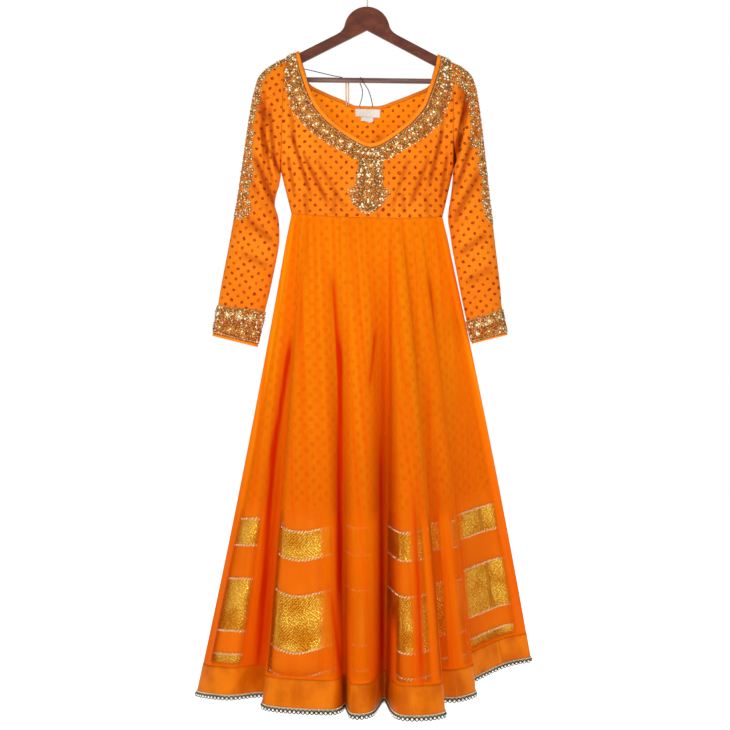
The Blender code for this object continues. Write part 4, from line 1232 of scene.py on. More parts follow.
def rounded(rows, height, edge=0.25):
    """Heights across a sewn-on band: rounded at both edges, flat between."""
    share = np.linspace(0, 1, rows)
    near = np.clip(np.minimum(share, 1 - share) / edge, 0, 1)
    return height * (0.15 + 0.85 * np.sqrt(1 - (1 - near) ** 2))[:, None]


def scalloped(grid, pitch, reach):
    """The grid with its last rows pushed along the cloth into shallow scallops."""
    along, down = run_along(grid)
    wave = reach * np.sin(along[-1] / pitch * math.pi) ** 2
    out = unit(grid[-1] - grid[-2])
    fade = (np.linspace(0, 1, len(grid)) ** 5)[:, None, None]
    return grid + fade * out[None] * wave[None, :, None]


def make_bodice(finish):
    """Front and back panels, and the bands and the tab that are sewn on them."""
    shares = np.concatenate([np.linspace(0, 1, 5)[:-1], np.linspace(1, 2, 11)[:-1],
                             np.linspace(2, 3, 44)])
    front = front_form(shares, PANEL_STEPS)
    piece = laid("front_panel", front, finish["printed"], "dotted_cloth", "bodice_front",
                 PANEL_WALL, cloth=bodice_cloth(front))
    shade_folds(piece, pressed(front, FRONT_CREASES))

    shares = np.concatenate([np.linspace(0, 1, 5)[:-1], np.linspace(1, 2, 50)])
    back = back_form(shares, PANEL_STEPS)
    # Its inside takes the printed cloth's lit copy: painted light.
    piece = laid("back_panel", back, finish["printed"], "dotted_cloth", "bodice_back",
                 PANEL_WALL, cloth=bodice_cloth(back), reverse=finish["reverse"])
    shade_folds(piece, pressed(back, BACK_CREASES))

    binding = front_form(np.linspace(0, 1, 9))
    binding = moved_out(binding, SEAM_GAP + rounded(9, BAND_RISE, 0.4))
    piece = laid("neck_binding_tape", binding, finish["plain"], "plain_orange", "neck_binding",
                 BAND_WALL)

    border = front_form(np.linspace(1, 2, 17))
    border = moved_out(border, SEAM_GAP + rounded(17, BAND_RISE, 0.12))
    border = scalloped(border, NECK_PITCH, 0.0022)
    piece = laid("neck_border_ground", border, finish["ground"], "embroidery", "neck_border",
                 BAND_WALL)

    tab = tab_form(21)
    tab = moved_out(tab, SEAM_GAP + rounded(21, BAND_RISE, 0.08) * np.ones(tab.shape[:2]))
    piece = laid("front_tab_ground", tab, finish["ground"], "embroidery", "front_tab", BAND_WALL)

    band = back_form(np.linspace(0, 1, 5))[:, 20:-20]
    inside = moved_out(band, -0.0012 - rounded(5, 0.0010, 0.4))[:, ::-1]
    piece = laid("back_band_tape", inside, finish["plain"], "plain_orange", "back_neck_band",
                 TAPE_WALL)
    return border, tab


def tab_form(rows):
    """The tab under the neckline: from the border down towards the waist, with a rounded
    foot, as wide as its four stations on each side."""
    steps = 14
    stops, spread = front_stops(steps)
    middle = len(spread) // 2
    half = 2 * steps
    columns = slice(middle - half, middle + half + 1)
    border, outline = stops[2][columns], stops[3][columns]
    foot = TAB_FOOT - TAB_ROUND * (np.abs(np.linspace(-1, 1, 2 * half + 1)) ** 2.4)[:, None]
    shares = np.linspace(0, 1, rows)
    flat = between([border, border + (outline - border) * foot], shares)
    centre = flat[:, half:half + 1, 0]
    width = 0.80 + 0.26 * bell(shares, 0.80, 0.14)[:, None]
    x, z = centre + (flat[..., 0] - centre) * width, flat[..., 1]
    depth = SEAM_GAP / 2 + bodice_depth(x, z, CHEST_DEPTH_FRONT)
    return np.stack([x, -depth, z], axis=-1)


def inside_back(x, z, depth):
    """Points just inside the back, seen through the neck opening."""
    y = bodice_depth(x, z, CHEST_DEPTH_BACK) - depth
    return np.stack([x, y, z], axis=-1)


def make_labels(finish):
    """Blank woven label and a small blank tag under it, sewn to the neck band."""
    across, down = np.meshgrid(np.linspace(-0.0242, 0.0280, 27), np.linspace(0, 1, 12))
    slope = -0.2905 - 0.0008 * across / 0.03
    label = inside_back(across, slope - down * (0.0170 + 0.05 * np.maximum(across, -0.01)),
                        0.0030 + 0.0008 * np.sin(down * math.pi))
    piece = laid("blank_label", label, finish["label"], "white_label", "label", LABEL_WALL)
    across, down = np.meshgrid(np.linspace(-0.0128, 0.0136, 13), np.linspace(0, 1, 9))
    reach = 0.0085 + 0.0045 * np.clip(1 - np.abs(across - 0.006) / 0.012, 0, 1)
    tag = inside_back(across, -0.3072 - down * reach, 0.0028 + 0.001 * down)
    piece = laid("blank_size_tag", tag, finish["label"], "white_label", "size_tag", LABEL_WALL)


LOOP_X = -0.0415
LOOP_FOOT = (0.0322, -0.2850)
LOOP_HEAD = (0.0068, -0.2345)
LOOP_TAPE = 0.003
LOOP_TURN = 0.0025


def make_loop(finish):
    """A narrow satin tape, up, over and down again, leaning on the back of the bar."""
    foot, head = np.array(LOOP_FOOT), np.array(LOOP_HEAD)
    lean = (head - foot) / np.linalg.norm(head - foot)
    rise = np.linalg.norm(head - foot) - LOOP_TURN
    angles = np.linspace(math.pi, 0, 19)
    path = [(-LOOP_TURN, rise * share) for share in np.linspace(0, 0.95, 12)]
    path += [(LOOP_TURN * math.cos(a), rise + LOOP_TURN * math.sin(a)) for a in angles]
    path += [(LOOP_TURN, rise * share) for share in np.linspace(0.95, 0, 12)]
    path = np.array(path)
    along = np.gradient(path, axis=0)
    along /= np.linalg.norm(along, axis=1, keepdims=True)
    sideways = np.stack([-along[:, 1], along[:, 0]], axis=-1)
    reach = np.linspace(-0.5, 0.5, 5)[None, :, None] * LOOP_TAPE
    flat = path[:, None, :] + sideways[:, None, :] * reach
    place = foot + flat[..., 1:2] * lean
    grid = np.stack([LOOP_X + flat[..., 0], place[..., 0], place[..., 1]], axis=-1)
    piece = laid("loop_tape", grid, finish["tape"], "tape", "hanging_loop", BAND_WALL)


# ------------------------------------------------------------ sleeves

CUFF_STEPS, RING_POINTS = 12, 44
FLAT_DEPTH = 0.35     # share of the sleeve's depth that the print spreads over


def sleeve_cloth(grid):
    """Place on the flat cloth for a sleeve: v along the line from its first ring to its
    last, u across that line, unrolled from the front round the back with part of its depth."""
    along = (grid[-1] - grid[0]).mean(axis=0) * np.array((1.0, 0.0, 1.0))
    along = unit(along)
    across = np.array((-along[2], 0.0, along[0]))
    step = np.diff(grid, axis=1)
    step = np.hypot(step @ across, FLAT_DEPTH * step[..., 1])
    u = (grid[:, :1] @ across) + np.concatenate([np.zeros((len(grid), 1)),
                                                 np.cumsum(step, axis=1)], axis=1)
    return u + 0.5, grid @ along


def make_sleeve(side, sections, right, creases, finish):
    """Sleeve, the embroidered cuff on its last stretch, and the binding at the wrist."""
    grid = sleeve_form(sections, right, creases, CUFF_STEPS, RING_POINTS)
    piece = laid("sleeve_skin_" + side, grid, finish["printed"], "dotted_cloth",
                 "sleeve_" + side, PANEL_WALL, True, sleeve_cloth(grid))
    shade_folds(piece, pressed(grid, creases, -1), pressed(grid, behind(creases), 1))
    fine = between(list(grid[-CUFF_STEPS - 1:]), np.linspace(0, CUFF_STEPS, 26))
    cuff = moved_out(fine[:24], SEAM_GAP + rounded(24, BAND_RISE, 0.08), ring=True)
    piece = laid("cuff_ground_" + side, cuff, finish["ground"], "embroidery", "cuff_" + side,
                 BAND_WALL, True)
    edge = between(list(fine[23:]), np.linspace(0.15, 2, 7))
    edge = moved_out(edge, SEAM_GAP + rounded(7, 0.0012, 0.4), ring=True)
    piece = laid("cuff_edge_" + side, edge, finish["plain"], "plain_orange",
                 "cuff_binding_" + side, TAPE_WALL, True)
    return grid, cuff


# ------------------------------------------------------------ skirt

def fold_doubling_and_shade(net, shares):
    """How much each point of the net darkens in its folds, 0 to 1, partly where the net lies
    doubled and partly as painted shade: its depth inside the fold's mean line, a dark line
    along each valley's bottom, and the painted fold lines of the tables."""
    per_fold = sum(FOLD_STEPS)
    reach = per_fold // 2
    mean = sum(np.roll(net, step, axis=1) for step in range(-reach, reach + 1))
    mean /= 2 * reach + 1
    inward = np.sum((mean - net) * outward(mean, ring=True), axis=2)
    valley = FOLD_STEPS[0] + FOLD_STEPS[1]
    off = (np.arange(net.shape[1]) - valley + per_fold / 2) % per_fold - per_fold / 2
    # Painted shade: a dark line down the bottom of each valley, and the tables' painted fold lines.
    line = 0.30 * np.exp(-(off / 0.8) ** 2)[None, :] * smooth((shares[:, None] - 0.05) / 0.3)
    sided = np.stack([net[..., 0], mean[..., 1], net[..., 2]], axis=-1)
    painted_fold_lines = -pressed(sided, NET_FOLD_SHADE_FRONT, -1) - pressed(sided, NET_FOLD_SHADE_BACK, 1)
    return np.clip(0.25 * smooth(inward / FOLD_DEPTH + 0.1) + line + painted_fold_lines, 0, 1)


# Where the net lies right on the lining among the gold bands: x of the middle, half the
# width and how close, at CLOSE_LEVEL down the skirt, on the front and on the back.
CLOSE_LEVEL = 0.80
CLOSE_FRONT = ((-0.278, 0.036, 1.0), (-0.146, 0.054, 1.0), (-0.080, 0.016, 0.35),
               (-0.026, 0.034, 0.30), (0.066, 0.027, 1.0), (0.112, 0.011, 0.85),
               (0.148, 0.014, 0.65), (0.262, 0.046, 1.0), (0.205, 0.016, 0.55))
CLOSE_BACK = ((-0.230, 0.034, 1.0), (-0.100, 0.050, 1.0), (-0.010, 0.020, 0.35),
              (0.070, 0.050, 1.0), (0.200, 0.038, 0.90))


def closeness(net, shares):
    """How close the net lies to the lining, 0 to 1: even in the upper skirt, and in patches
    along the crests further down. At the sides it hangs clear, near the hem the folds' flanks
    hang clear too, and the last centimetre is doubled at the satin's seam."""
    level = net[int(np.searchsorted(shares, CLOSE_LEVEL))][:, 0]
    turned = outward(net, ring=True)[len(net) // 2, :, 1]
    patches = np.zeros(len(level))
    for windows, facing in ((CLOSE_FRONT, -1), (CLOSE_BACK, 1)):
        side = smooth(facing * turned / 0.3 + 0.2)
        for middle, half, amount in windows:
            reach = smooth((half - np.abs(level - middle)) / (0.40 * half) + 0.4)
            patches = np.maximum(patches, amount * reach * side)
    lower = smooth((shares[:, None] - 0.59) / 0.05)
    x = net[..., 0]
    edge = 0.005 + LINING_TUCK_WAIST + (LINING_TUCK_HEM - LINING_TUCK_WAIST) * shares[:, None]
    inside = (smooth((x - x.min(axis=1, keepdims=True) - edge) / 0.008)
              * smooth((x.max(axis=1, keepdims=True) - x - edge) / 0.008))
    cover = 0.50 * (1 - lower) + patches[None, :] * lower
    crest = smooth((np.abs(outward(net, ring=True)[..., 1]) - 0.20) / 0.30)
    flank = 1 - smooth((shares[:, None] - 0.78) / 0.08) * (1 - crest)
    doubled = 1 - smooth((shares[:, None] - NET_FOOT + 0.012) / 0.010)
    return cover * inside * flank * doubled * (1 - fold_doubling_and_shade(net, shares))


# How far the lining's bands hang lower on some crests of the front: x at CLOSE_LEVEL, half
# the width, and the drop as a share of the skirt's length at BAND_LEVEL.
BAND_DROPS = ((-0.143, 0.060, 0.0180), (0.080, 0.050, 0.0105))
BAND_LEVEL = 0.70


def band_rows(top, foot, count):
    """Shares of a gold band's rows for every column, with its drops."""
    level = skirt_form([CLOSE_LEVEL], *LINING_TUCK)[0]
    drop = np.zeros(len(level))
    for middle, half, depth in BAND_DROPS:
        drop += np.where(level[:, 1] < 0, depth * bell(level[:, 0], middle, half), 0)
    rows = np.linspace(top, foot, count)[:, None]
    return rows + drop[None, :] * (rows / BAND_LEVEL) ** 1.5


LINING_TUCK = (LINING_TUCK_WAIST, LINING_TUCK_HEM)
LINING_RIPPLES = {"gathers": 0.0012, "seed": 1.0}
NET_RIPPLES = {"gathers": 0.0020}


def make_skirt(finish):
    """Lining with its gold bands, sheer net over it, satin band and the edging's tape."""
    def laid_round(name, grid, material, slot, node, wall=0.0):
        return laid(name, grid, material, slot, node, wall, True, gore_cloth(grid))

    lining = skirt_form(np.linspace(0, LINING_FOOT, 90), *LINING_TUCK, **LINING_RIPPLES)
    piece = laid_round("lining_skin", lining, finish["lining"], "dotted_cloth", "skirt_lining")
    for name, (top, foot) in BANDS.items():
        band = skirt_form(band_rows(top, foot, 9), *LINING_TUCK, **LINING_RIPPLES)
        band = moved_out(band, OVER_SKIRT, ring=True)
        piece = laid_round("gold_band_" + name, band, finish["brocade"], "gold_brocade",
                           "lining_band_" + name)
    shares = np.linspace(0, NET_FOOT, 110)
    net = skirt_form(shares, **NET_RIPPLES)
    piece = laid_round("net_skin", net, finish["net"], "orange_net", "skirt_net")
    write_layer(piece, "close", closeness(net, shares))
    # The fold layer: painted shade in the net's folds, with their doubling.
    write_layer(piece, "fold", fold_doubling_and_shade(net, shares))
    satin = skirt_form(np.linspace(NET_FOOT + 0.0003, SATIN_FOOT, 14), **NET_RIPPLES)
    satin = moved_out(satin, OVER_SKIRT / 2, ring=True)
    piece = laid_round("satin_band", satin, finish["satin"], "satin", "hem_band", SATIN_WALL)
    edging = skirt_form(np.linspace(TRIM_FROM, SATIN_FOOT, 4), **NET_RIPPLES)
    edging = moved_out(edging, OVER_SKIRT, ring=True)
    piece = laid_round("edging_tape", edging, finish["edging"], "pearl_trim", "hem_trim",
                       BAND_WALL)
    return lining, net, satin


# ------------------------------------------------------------ beads and embroidery

GOLD, SILVER, COPPER, CORAL, OLIVE, CREAM = (
    light(206, 142, 36), light(214, 188, 118), light(184, 90, 30), light(238, 112, 44),
    light(110, 84, 24), light(255, 246, 212))
SCATTER_TINTS = (GOLD, COPPER, OLIVE, COPPER, CORAL, OLIVE, CREAM, GOLD, OLIVE)

# Parts of a motif in a flat drawing of it: across and up from its middle, turn in degrees,
# half its length and width, height, and which shape and tint.
MOTIF_PART = np.dtype([("a", float), ("b", float), ("turn", float), ("long", float),
                       ("wide", float), ("high", float), ("shape", int), ("tint", float, 3)])
BEAD, LEAF, STONE = 0, 1, 2


def on_surface(grid, row, column, ring=False):
    """Points at fractional rows and columns of a grid, with the axes across, up and out of
    the cloth there."""
    row, column = np.atleast_1d(row).astype(float), np.atleast_1d(column).astype(float)
    rows, columns = grid.shape[:2]
    top = np.clip(np.floor(row), 0, rows - 2).astype(int)
    left = np.floor(column).astype(int)
    if not ring:
        left = np.clip(left, 0, columns - 2)
    down, over = (row - top)[:, None], (column - left)[:, None]
    left, following = left % columns, (left + 1) % columns

    def sample(field):
        upper = field[top, left] * (1 - over) + field[top, following] * over
        lower = field[top + 1, left] * (1 - over) + field[top + 1, following] * over
        return upper * (1 - down) + lower * down

    facing = unit(sample(outward(grid, ring)))
    across = unit(grid[top, following] - grid[top, left])
    up = unit(np.cross(facing, across))
    return sample(grid), np.cross(up, facing), up, facing


def evenly(line, pitch, ring=False):
    """Fractional columns of places along a row of points, pitch apart."""
    if ring:
        line = np.vstack([line, line[:1]])
    length = np.concatenate([[0], np.cumsum(np.linalg.norm(np.diff(line, axis=0), axis=1))])
    count = max(2, int(round(length[-1] / pitch)))
    stops = (np.arange(count) + 0.5) * length[-1] / count
    return np.interp(stops, length, np.arange(len(length)))


def along_row(grid, share, columns, ring=False):
    """Places at fractional columns, a share of the way down a grid."""
    return on_surface(grid, np.full(len(columns), share * (len(grid) - 1)), columns, ring)


def spots(grid, down, across):
    """Places at shares of a grid's length and of its width."""
    down, across = np.broadcast_arrays(down, across)
    return on_surface(grid, down * (len(grid) - 1), across * (grid.shape[1] - 1))


def at_random(grid, dice, count, down, across=(0, 1), ring=False):
    """Places thrown between two shares of a grid's length and two of its width."""
    row = dice.uniform(*down, count) * (len(grid) - 1)
    return on_surface(grid, row, dice.uniform(*across, count) * (grid.shape[1] - (not ring)),
                      ring)


def lifted(base, height):
    """The same places, moved out of the cloth."""
    return base[0] + base[3] * height, *base[1:]


def motif(*parts):
    """Parts of a motif, or lists of them, as one table."""
    return np.concatenate([np.array(part, dtype=MOTIF_PART).reshape(-1) for part in parts])


def flower(radius, petals=8, petal_tint=GOLD, heart_tint=CREAM, rim_tint=SILVER):
    """Stone in the middle, a ring of leaf-shaped petals and a bead at each petal's tip."""
    turn = np.arange(petals) * 360 / petals + 11
    angle = np.radians(turn)
    leaves = [(0.60 * radius * math.cos(a), 0.60 * radius * math.sin(a), t, 0.38 * radius,
               2.4 * radius / petals, 0.0014, LEAF, petal_tint)
              for a, t in zip(angle, turn)]
    rim = [(0.98 * radius * math.cos(a), 0.98 * radius * math.sin(a), 0.0, 0.0010, 0.0010,
            0.0012, BEAD, rim_tint) for a in angle + math.pi / petals]
    heart = [(0.0, 0.0, 0.0, 0.27 * radius, 0.27 * radius, 0.0018, STONE, heart_tint)]
    return motif(leaves, rim, heart)


def sprig(size, tint=OLIVE):
    """A pair of leaves either side of a bead."""
    return motif([(-0.55 * size, 0.25 * size, 150.0, 0.55 * size, 0.50 * size, 0.0012, LEAF, tint),
                  (0.55 * size, 0.25 * size, 30.0, 0.55 * size, 0.50 * size, 0.0012, LEAF, tint),
                  (0.0, -0.15 * size, 0.0, 0.0013, 0.0013, 0.0016, BEAD, CREAM)])


def sewn(motifs, base, turns=0.0):
    """Copies of a motif on a surface: for each of its parts the place, axes, shape and tint."""
    place, across, up, facing = (axis[:, None, :] for axis in base)
    turns = np.radians(np.broadcast_to(turns, (len(place),)))[:, None, None]
    east = across * np.cos(turns) + up * np.sin(turns)
    north = up * np.cos(turns) - across * np.sin(turns)
    a, b = motifs["a"][None, :, None], motifs["b"][None, :, None]
    spot = place + east * a + north * b
    turn = np.radians(motifs["turn"])[None, :, None]
    length = (east * np.cos(turn) + north * np.sin(turn)) * motifs["long"][None, :, None]
    width = (north * np.cos(turn) - east * np.sin(turn)) * motifs["wide"][None, :, None]
    height = facing * motifs["high"][None, :, None]
    shape = np.broadcast_to(motifs["shape"][None, :], spot.shape[:2])
    tint = np.broadcast_to(motifs["tint"][None, :, :], spot.shape)
    return [part.reshape(-1, *part.shape[2:]) for part in
            (spot, length, width, np.broadcast_to(height, spot.shape), shape, tint)]


def strewn(base, dice):
    """One bead at each place, each its own size and tint."""
    place, across, up, facing = base
    count = len(place)
    size = dice.uniform(*LOOSE_BEAD_SIZES, (count, 1))
    tint = np.array(SCATTER_TINTS)[dice.integers(0, len(SCATTER_TINTS), count)]
    tint = tint * dice.uniform(0.8, 1.1, (count, 1))
    return [place, across * size, up * size, facing * 0.0013, np.zeros(count, dtype=int), tint]


def sparkles(base, dice):
    """Loose faceted stones, each a little different in size."""
    place, across, up, facing = base
    size = dice.uniform(0.0018, 0.0027, (len(place), 1))
    return [place, across * size, up * size, facing * 0.0020,
            np.full(len(place), STONE), np.broadcast_to(np.array(CREAM), (len(place), 3))]


def string_of(base, size, tint, height=0.0014):
    """A row of equal beads."""
    place, across, up, facing = base
    count = len(place)
    return [place, across * size, up * size, facing * height, np.zeros(count, dtype=int),
            np.broadcast_to(np.array(tint), (count, 3))]


def sew_on(name, slot, batches, finish, dice):
    """Joins all the parts of each shape into one piece: beads, leaves and stones."""
    spot, length, width, height, shape, tint = (np.concatenate(column)
                                                for column in zip(*batches))
    tint = np.clip(tint * dice.uniform(0.82, 1.12, (len(tint), 1)), 0, 1)
    kinds = ((BEAD, "beads", dome_shape(6, 2, 1.0)), (LEAF, "leaves", leaf_shape()),
             (STONE, "stones", dome_shape(8, 2, 1.0)))
    for kind, label, (points, faces) in kinds:
        chosen = shape == kind
        if chosen.any():
            piece = repeated(name + "_" + label, spot[chosen], length[chosen], width[chosen],
                             height[chosen], points, faces, finish[label], tint[chosen])
            dress(piece, slot)


def embroider_neck(border, finish):
    """A line of flowers, scallops of smaller flowers on the outer edge, sprigs between, and
    strings of beads along both edges."""
    dice = np.random.default_rng(7)
    rows = len(border) - 1
    middle, outer = evenly(border[rows // 2], NECK_PITCH), evenly(border[-1], NECK_PITCH)
    spaces, halfway = (middle[1:] + middle[:-1]) / 2, (outer[1:] + outer[:-1]) / 2
    lobes = along_row(border, 0.96, halfway)
    lobes = (lobes[0] - lobes[2] * 0.0016, *lobes[1:])
    batches = [
        sewn(flower(0.0104, 8, GOLD), along_row(border, 0.50, middle),
             dice.uniform(0, 40, len(middle))),
        sewn(flower(0.0064, 6, SILVER, CREAM, OLIVE), lobes, dice.uniform(0, 60, len(halfway))),
        sewn(sprig(0.0066, OLIVE), along_row(border, 0.22, spaces),
             dice.uniform(-30, 30, len(spaces))),
        sewn(flower(0.0046, 5, CORAL, GOLD, OLIVE), along_row(border, 0.92, middle)),
        sewn(flower(0.0050, 5, OLIVE, CREAM, SILVER), along_row(border, 1.07, outer)),
    ]
    for share, size, tint in ((-0.07, 0.0012, SILVER), (0.01, 0.0013, COPPER),
                              (0.08, 0.0011, SILVER), (0.97, 0.0010, GOLD)):
        columns = evenly(border[int(max(share, 0) * rows)], 0.0025)
        batches.append(string_of(along_row(border, share, columns), size, tint))
    batches.append(strewn(at_random(border, dice, 2300, (0.02, 1.0)), dice))
    batches.append(sparkles(at_random(border, dice, 90, (0.1, 1.0)), dice))
    sew_on("neck_embroidery", "embroidery", batches, finish, dice)
    return dice


def embroider_tab(tab, finish, dice):
    """Three columns of flowers that end in lobes, strings of beads between them and sprigs
    at the foot."""
    batches = [sewn(flower(0.0092, 8, GOLD, CREAM, SILVER),
                    spots(tab, np.linspace(0.10, 0.74, 5), 0.5), dice.uniform(0, 45, 5))]
    for side in (0.22, 0.78):
        batches.append(sewn(flower(0.0066, 6, OLIVE, SILVER, GOLD),
                            spots(tab, np.linspace(0.04, 0.66, 6), side),
                            dice.uniform(0, 60, 6)))
    feet = np.array(((0.86, 0.35), (0.86, 0.65), (0.72, -0.01), (0.72, 1.01), (0.84, 0.08),
                     (0.84, 0.92)))
    tips = np.array(((0.97, 0.38), (0.97, 0.62), (0.99, 0.50), (0.93, 0.24), (0.93, 0.76)))
    batches += [sewn(flower(0.0098, 9, OLIVE, CREAM, SILVER), spots(tab, *feet[:2].T)),
                sewn(flower(0.0070, 7, GOLD, CREAM, CREAM), spots(tab, *feet[2:].T)),
                sewn(sprig(0.0062, SILVER), spots(tab, *tips.T), 180.0)]
    for side in (0.02, 0.36, 0.64, 0.98):
        batches.append(string_of(spots(tab, np.arange(0.0, 0.68, 0.024), side), 0.0011, SILVER))
    batches.append(strewn(at_random(tab, dice, 1000, (0.0, 0.98), (0.01, 0.99)), dice))
    batches.append(sparkles(at_random(tab, dice, 36, (0.0, 0.98), (0.03, 0.97)), dice))
    sew_on("tab_embroidery", "embroidery", batches, finish, dice)


# Sleeve embroidery: share of the sleeve's length, and how far it reaches either side of the
# outer line there. Lobes swell and narrow as they go down.
LOBES_LEFT = ((0.00, 0.008), (0.06, 0.010), (0.10, 0.024), (0.13, 0.036), (0.18, 0.034),
              (0.205, 0.024), (0.24, 0.036), (0.29, 0.032), (0.33, 0.044), (0.38, 0.036),
              (0.41, 0.028), (0.46, 0.042), (0.50, 0.034), (0.535, 0.008))
LOBES_RIGHT = ((0.00, 0.040), (0.05, 0.044), (0.09, 0.038), (0.12, 0.050), (0.17, 0.064),
               (0.22, 0.068), (0.26, 0.062), (0.285, 0.046), (0.31, 0.026), (0.36, 0.032),
               (0.41, 0.018), (0.47, 0.028), (0.53, 0.016), (0.575, 0.004))


def beside_outer_line(grid, right, rows, reach):
    """Columns at signed distances from the sleeve's outer line as seen from the front or the
    back, forwards where positive."""
    columns = grid.shape[1]
    start, step = (columns // 2, -1) if right else (0, 1)
    steps = np.arange(columns // 2)
    found = []
    for row, distance in zip(rows, reach):
        way = step if distance > 0 else -step
        line = grid[int(row), (start + way * steps) % columns]
        across = np.linalg.norm(line[:, [0, 2]] - line[0, [0, 2]], axis=1)
        found.append(start + way * np.interp(abs(distance), across, steps))
    return np.array(found)


def embroider_sleeve(side, grid, right, lobes, finish):
    """A lobed panel of flowers and beads down the sleeve's outer line."""
    dice = np.random.default_rng(31 if right else 19)
    shares, widths = np.array(lobes).T
    _, down = run_along(grid)
    length = down.mean(axis=1) / down[-1].mean()
    batches = []

    def beside(along, reach):
        at = np.interp(along, length, np.arange(len(length)))
        return on_surface(grid, at, beside_outer_line(grid, right, at, reach), ring=True)

    for offset, radius, tint in ((0.30, 0.0086, GOLD), (0.78, 0.0074, SILVER),
                                 (1.0, 0.0056, OLIVE)):
        along = np.arange(0.015 + 0.012 * offset, shares[-1] - 0.012, 2.5 * radius / 0.6)
        width = np.interp(along, shares, widths)
        for face in (1, -1):
            batches.append(sewn(flower(radius, 7, tint, CREAM, SILVER),
                                beside(along, width * offset * face),
                                dice.uniform(0, 50, len(along))))
    count = 3400
    share = dice.uniform(0.0, shares[-1], count)
    reach = np.interp(share, shares, widths) * dice.uniform(-1, 1, count)
    batches.append(strewn(beside(share, reach), dice))
    sew_on("sleeve_embroidery_" + side, "embroidery", batches, finish, dice)
    return dice


def embroider_cuff(side, cuff, finish, dice):
    """Two rows of flowers half a step apart, strings of beads and loose beads between."""
    rows = len(cuff) - 1
    batches = []
    for share, radius, petals, tint, shift in ((0.30, 0.0108, 9, SILVER, False),
                                               (0.74, 0.0092, 8, GOLD, True)):
        columns = evenly(cuff[int(share * rows)], 0.0235, ring=True)
        if shift:
            columns = (columns + np.roll(columns, -1)) / 2
            columns[-1] = columns[-2] + (columns[-2] - columns[-3])
        batches.append(sewn(flower(radius, petals, tint, CREAM, GOLD),
                            along_row(cuff, share, columns, ring=True),
                            dice.uniform(0, 40, len(columns))))
    for share, size, tint in ((0.02, 0.0012, SILVER), (0.08, 0.0010, GOLD),
                              (0.95, 0.0012, SILVER)):
        columns = evenly(cuff[int(share * rows)], 0.0028, ring=True)
        batches.append(string_of(along_row(cuff, share, columns, ring=True), size, tint))
    batches.append(strewn(at_random(cuff, dice, 1300, (0.02, 0.98), ring=True), dice))
    batches.append(sparkles(at_random(cuff, dice, 50, (0.05, 0.95), ring=True), dice))
    sew_on("cuff_embroidery_" + side, "embroidery", batches, finish, dice)


def trim_skirt(lining, satin, finish):
    """Braids of slanting stitches on the edges of the gold bands, and the beaded edging."""
    dice = np.random.default_rng(53)
    rows = len(lining) - 1
    for name, (top, foot) in BANDS.items():
        batches = []
        for share in (top, foot) if name != "hem" else (top,):
            columns = evenly(lining[int(share / LINING_FOOT * rows)], 0.0068, ring=True)
            drops = band_rows(share, share, 2)[0]
            row = np.interp(columns, np.arange(len(drops)), drops) / LINING_FOOT * rows
            base = lifted(on_surface(lining, row, columns, ring=True), 0.0014)
            stitch = motif([(0.0, 0.0, 40.0, 0.0048, 0.0038, 0.0020, LEAF, light(250, 224, 160)),
                            (0.0034, 0.0, 40.0, 0.0046, 0.0034, 0.0014, LEAF, GOLD)])
            batches.append(sewn(stitch, base, dice.uniform(-22, 22, len(columns))))
            bright = dice.random(len(columns)) < 0.55
            batches.append(string_of([axis[bright] for axis in base], 0.0021, CREAM, 0.0030))
        sew_on("band_braid_" + name, "gold_brocade", batches, finish, dice)
    rows = len(satin) - 1
    foot = satin[-1]
    columns = evenly(foot, 0.0092, ring=True)
    base = on_surface(satin, np.full(len(columns), rows - 0.42), columns, ring=True)
    pearls = string_of(lifted(base, 0.0016), 0.0028, light(250, 248, 238), 0.0024)
    sew_on("hem_pearls", "pearl_trim", [pearls], finish, dice)
    points, faces = ring_shape(0.24, 10, 4)
    size = 0.0040
    hoops = repeated("hem_hoops", base[0] + base[3] * 0.0014, base[1] * size, base[2] * size,
                     base[3] * size, points, faces, finish["hoops"],
                     np.broadcast_to(np.array(light(44, 42, 36)), (len(columns), 3)))
    dress(hoops, "pearl_trim")
    columns = evenly(foot, 0.0031, ring=True)
    fine = along_row(satin, 0.865, columns, ring=True)
    sew_on("hem_bead_row", "pearl_trim",
           [string_of(lifted(fine, 0.0006), 0.0012, light(236, 230, 204))], finish, dice)


def stitch_waist(net, finish):
    """Short stitches along the waist seam, on the top edge of the skirt."""
    dice = np.random.default_rng(5)
    columns = evenly(net[0], 0.0052, ring=True)
    base = on_surface(net, np.full(len(columns), 0.12), columns, ring=True)
    stitch = motif([(0.0, 0.0, 4.0, 0.0021, 0.0007, 0.0006, LEAF, light(188, 74, 6))])
    sew_on("waist_stitches", "orange_net", [sewn(stitch, base)], finish, dice)


# ------------------------------------------------------------ the whole

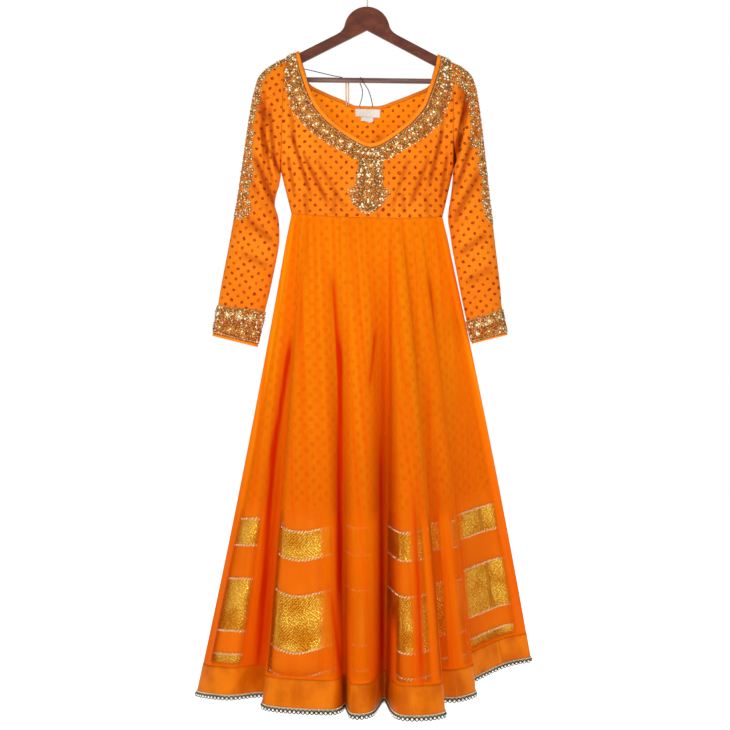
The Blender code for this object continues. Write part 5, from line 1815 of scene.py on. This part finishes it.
def main():
    """The whole scene: camera, stage, light, and then every piece."""
    set_camera()
    make_threads()
    set_stage()
    set_light()
    finish = {
        "printed": printed_cloth("printed cloth", 0.0218, 0.0035, light(150, 50, 2),
                                 light(229, 115, 10), light(240, 130, 20)),
        # Painted light: the inside of the back is a lit copy of the printed cloth, brighter and
        # giving off light, to lift the shade that falls inside it.
        "reverse": printed_cloth("printed cloth reverse painted lighter", 0.0218, 0.0035, light(170, 62, 4),
                                 light(255, 134, 8), light(255, 144, 14),
                                 painted_glow=0.22),
        "lining": printed_cloth("printed lining", 0.0250, 0.0052, light(166, 34, 0),
                                light(224, 106, 2), light(236, 118, 6), 0.60, 0.85),
        "plain": plain_cloth("plain orange", light(240, 126, 14), light(248, 138, 24)),
        "ground": embroidery_ground(),
        "label": plain_cloth("white label", light(236, 232, 220), light(250, 248, 240), 0.7),
        "tape": plain_cloth("satin tape", light(226, 172, 128), light(244, 196, 150), 0.45),
        "net": net_cloth(),
        "satin": satin_cloth(),
        "edging": plain_cloth("edging tape", light(150, 142, 112), light(204, 196, 164)),
        "brocade": brocade(),
        "beads": tinted("metal beads", 0.30, 0.65),
        "leaves": tinted("metal thread leaves", 0.42, 0.45),
        "stones": tinted("faceted stones", 0.12, 0.0, coat=0.5),
        "hoops": tinted("dark hoops", 0.35, 0.4),
    }
    finish_hanger()
    border, tab = make_bodice(finish)
    make_labels(finish)
    make_loop(finish)
    sleeve_left, cuff_left = make_sleeve("left", SLEEVE_LEFT_SECTIONS, False,
                                         SLEEVE_LEFT_CREASES, finish)
    sleeve_right, cuff_right = make_sleeve("right", SLEEVE_RIGHT_SECTIONS, True,
                                           SLEEVE_RIGHT_CREASES, finish)
    lining, net, satin = make_skirt(finish)
    embroider_tab(tab, finish, embroider_neck(border, finish))
    for side, sleeve, cuff, right, lobes in (
            ("left", sleeve_left, cuff_left, False, LOBES_LEFT),
            ("right", sleeve_right, cuff_right, True, LOBES_RIGHT)):
        embroider_cuff(side, cuff, finish, embroider_sleeve(side, sleeve, right, lobes, finish))
    trim_skirt(lining, satin, finish)
    stitch_waist(net, finish)


main()
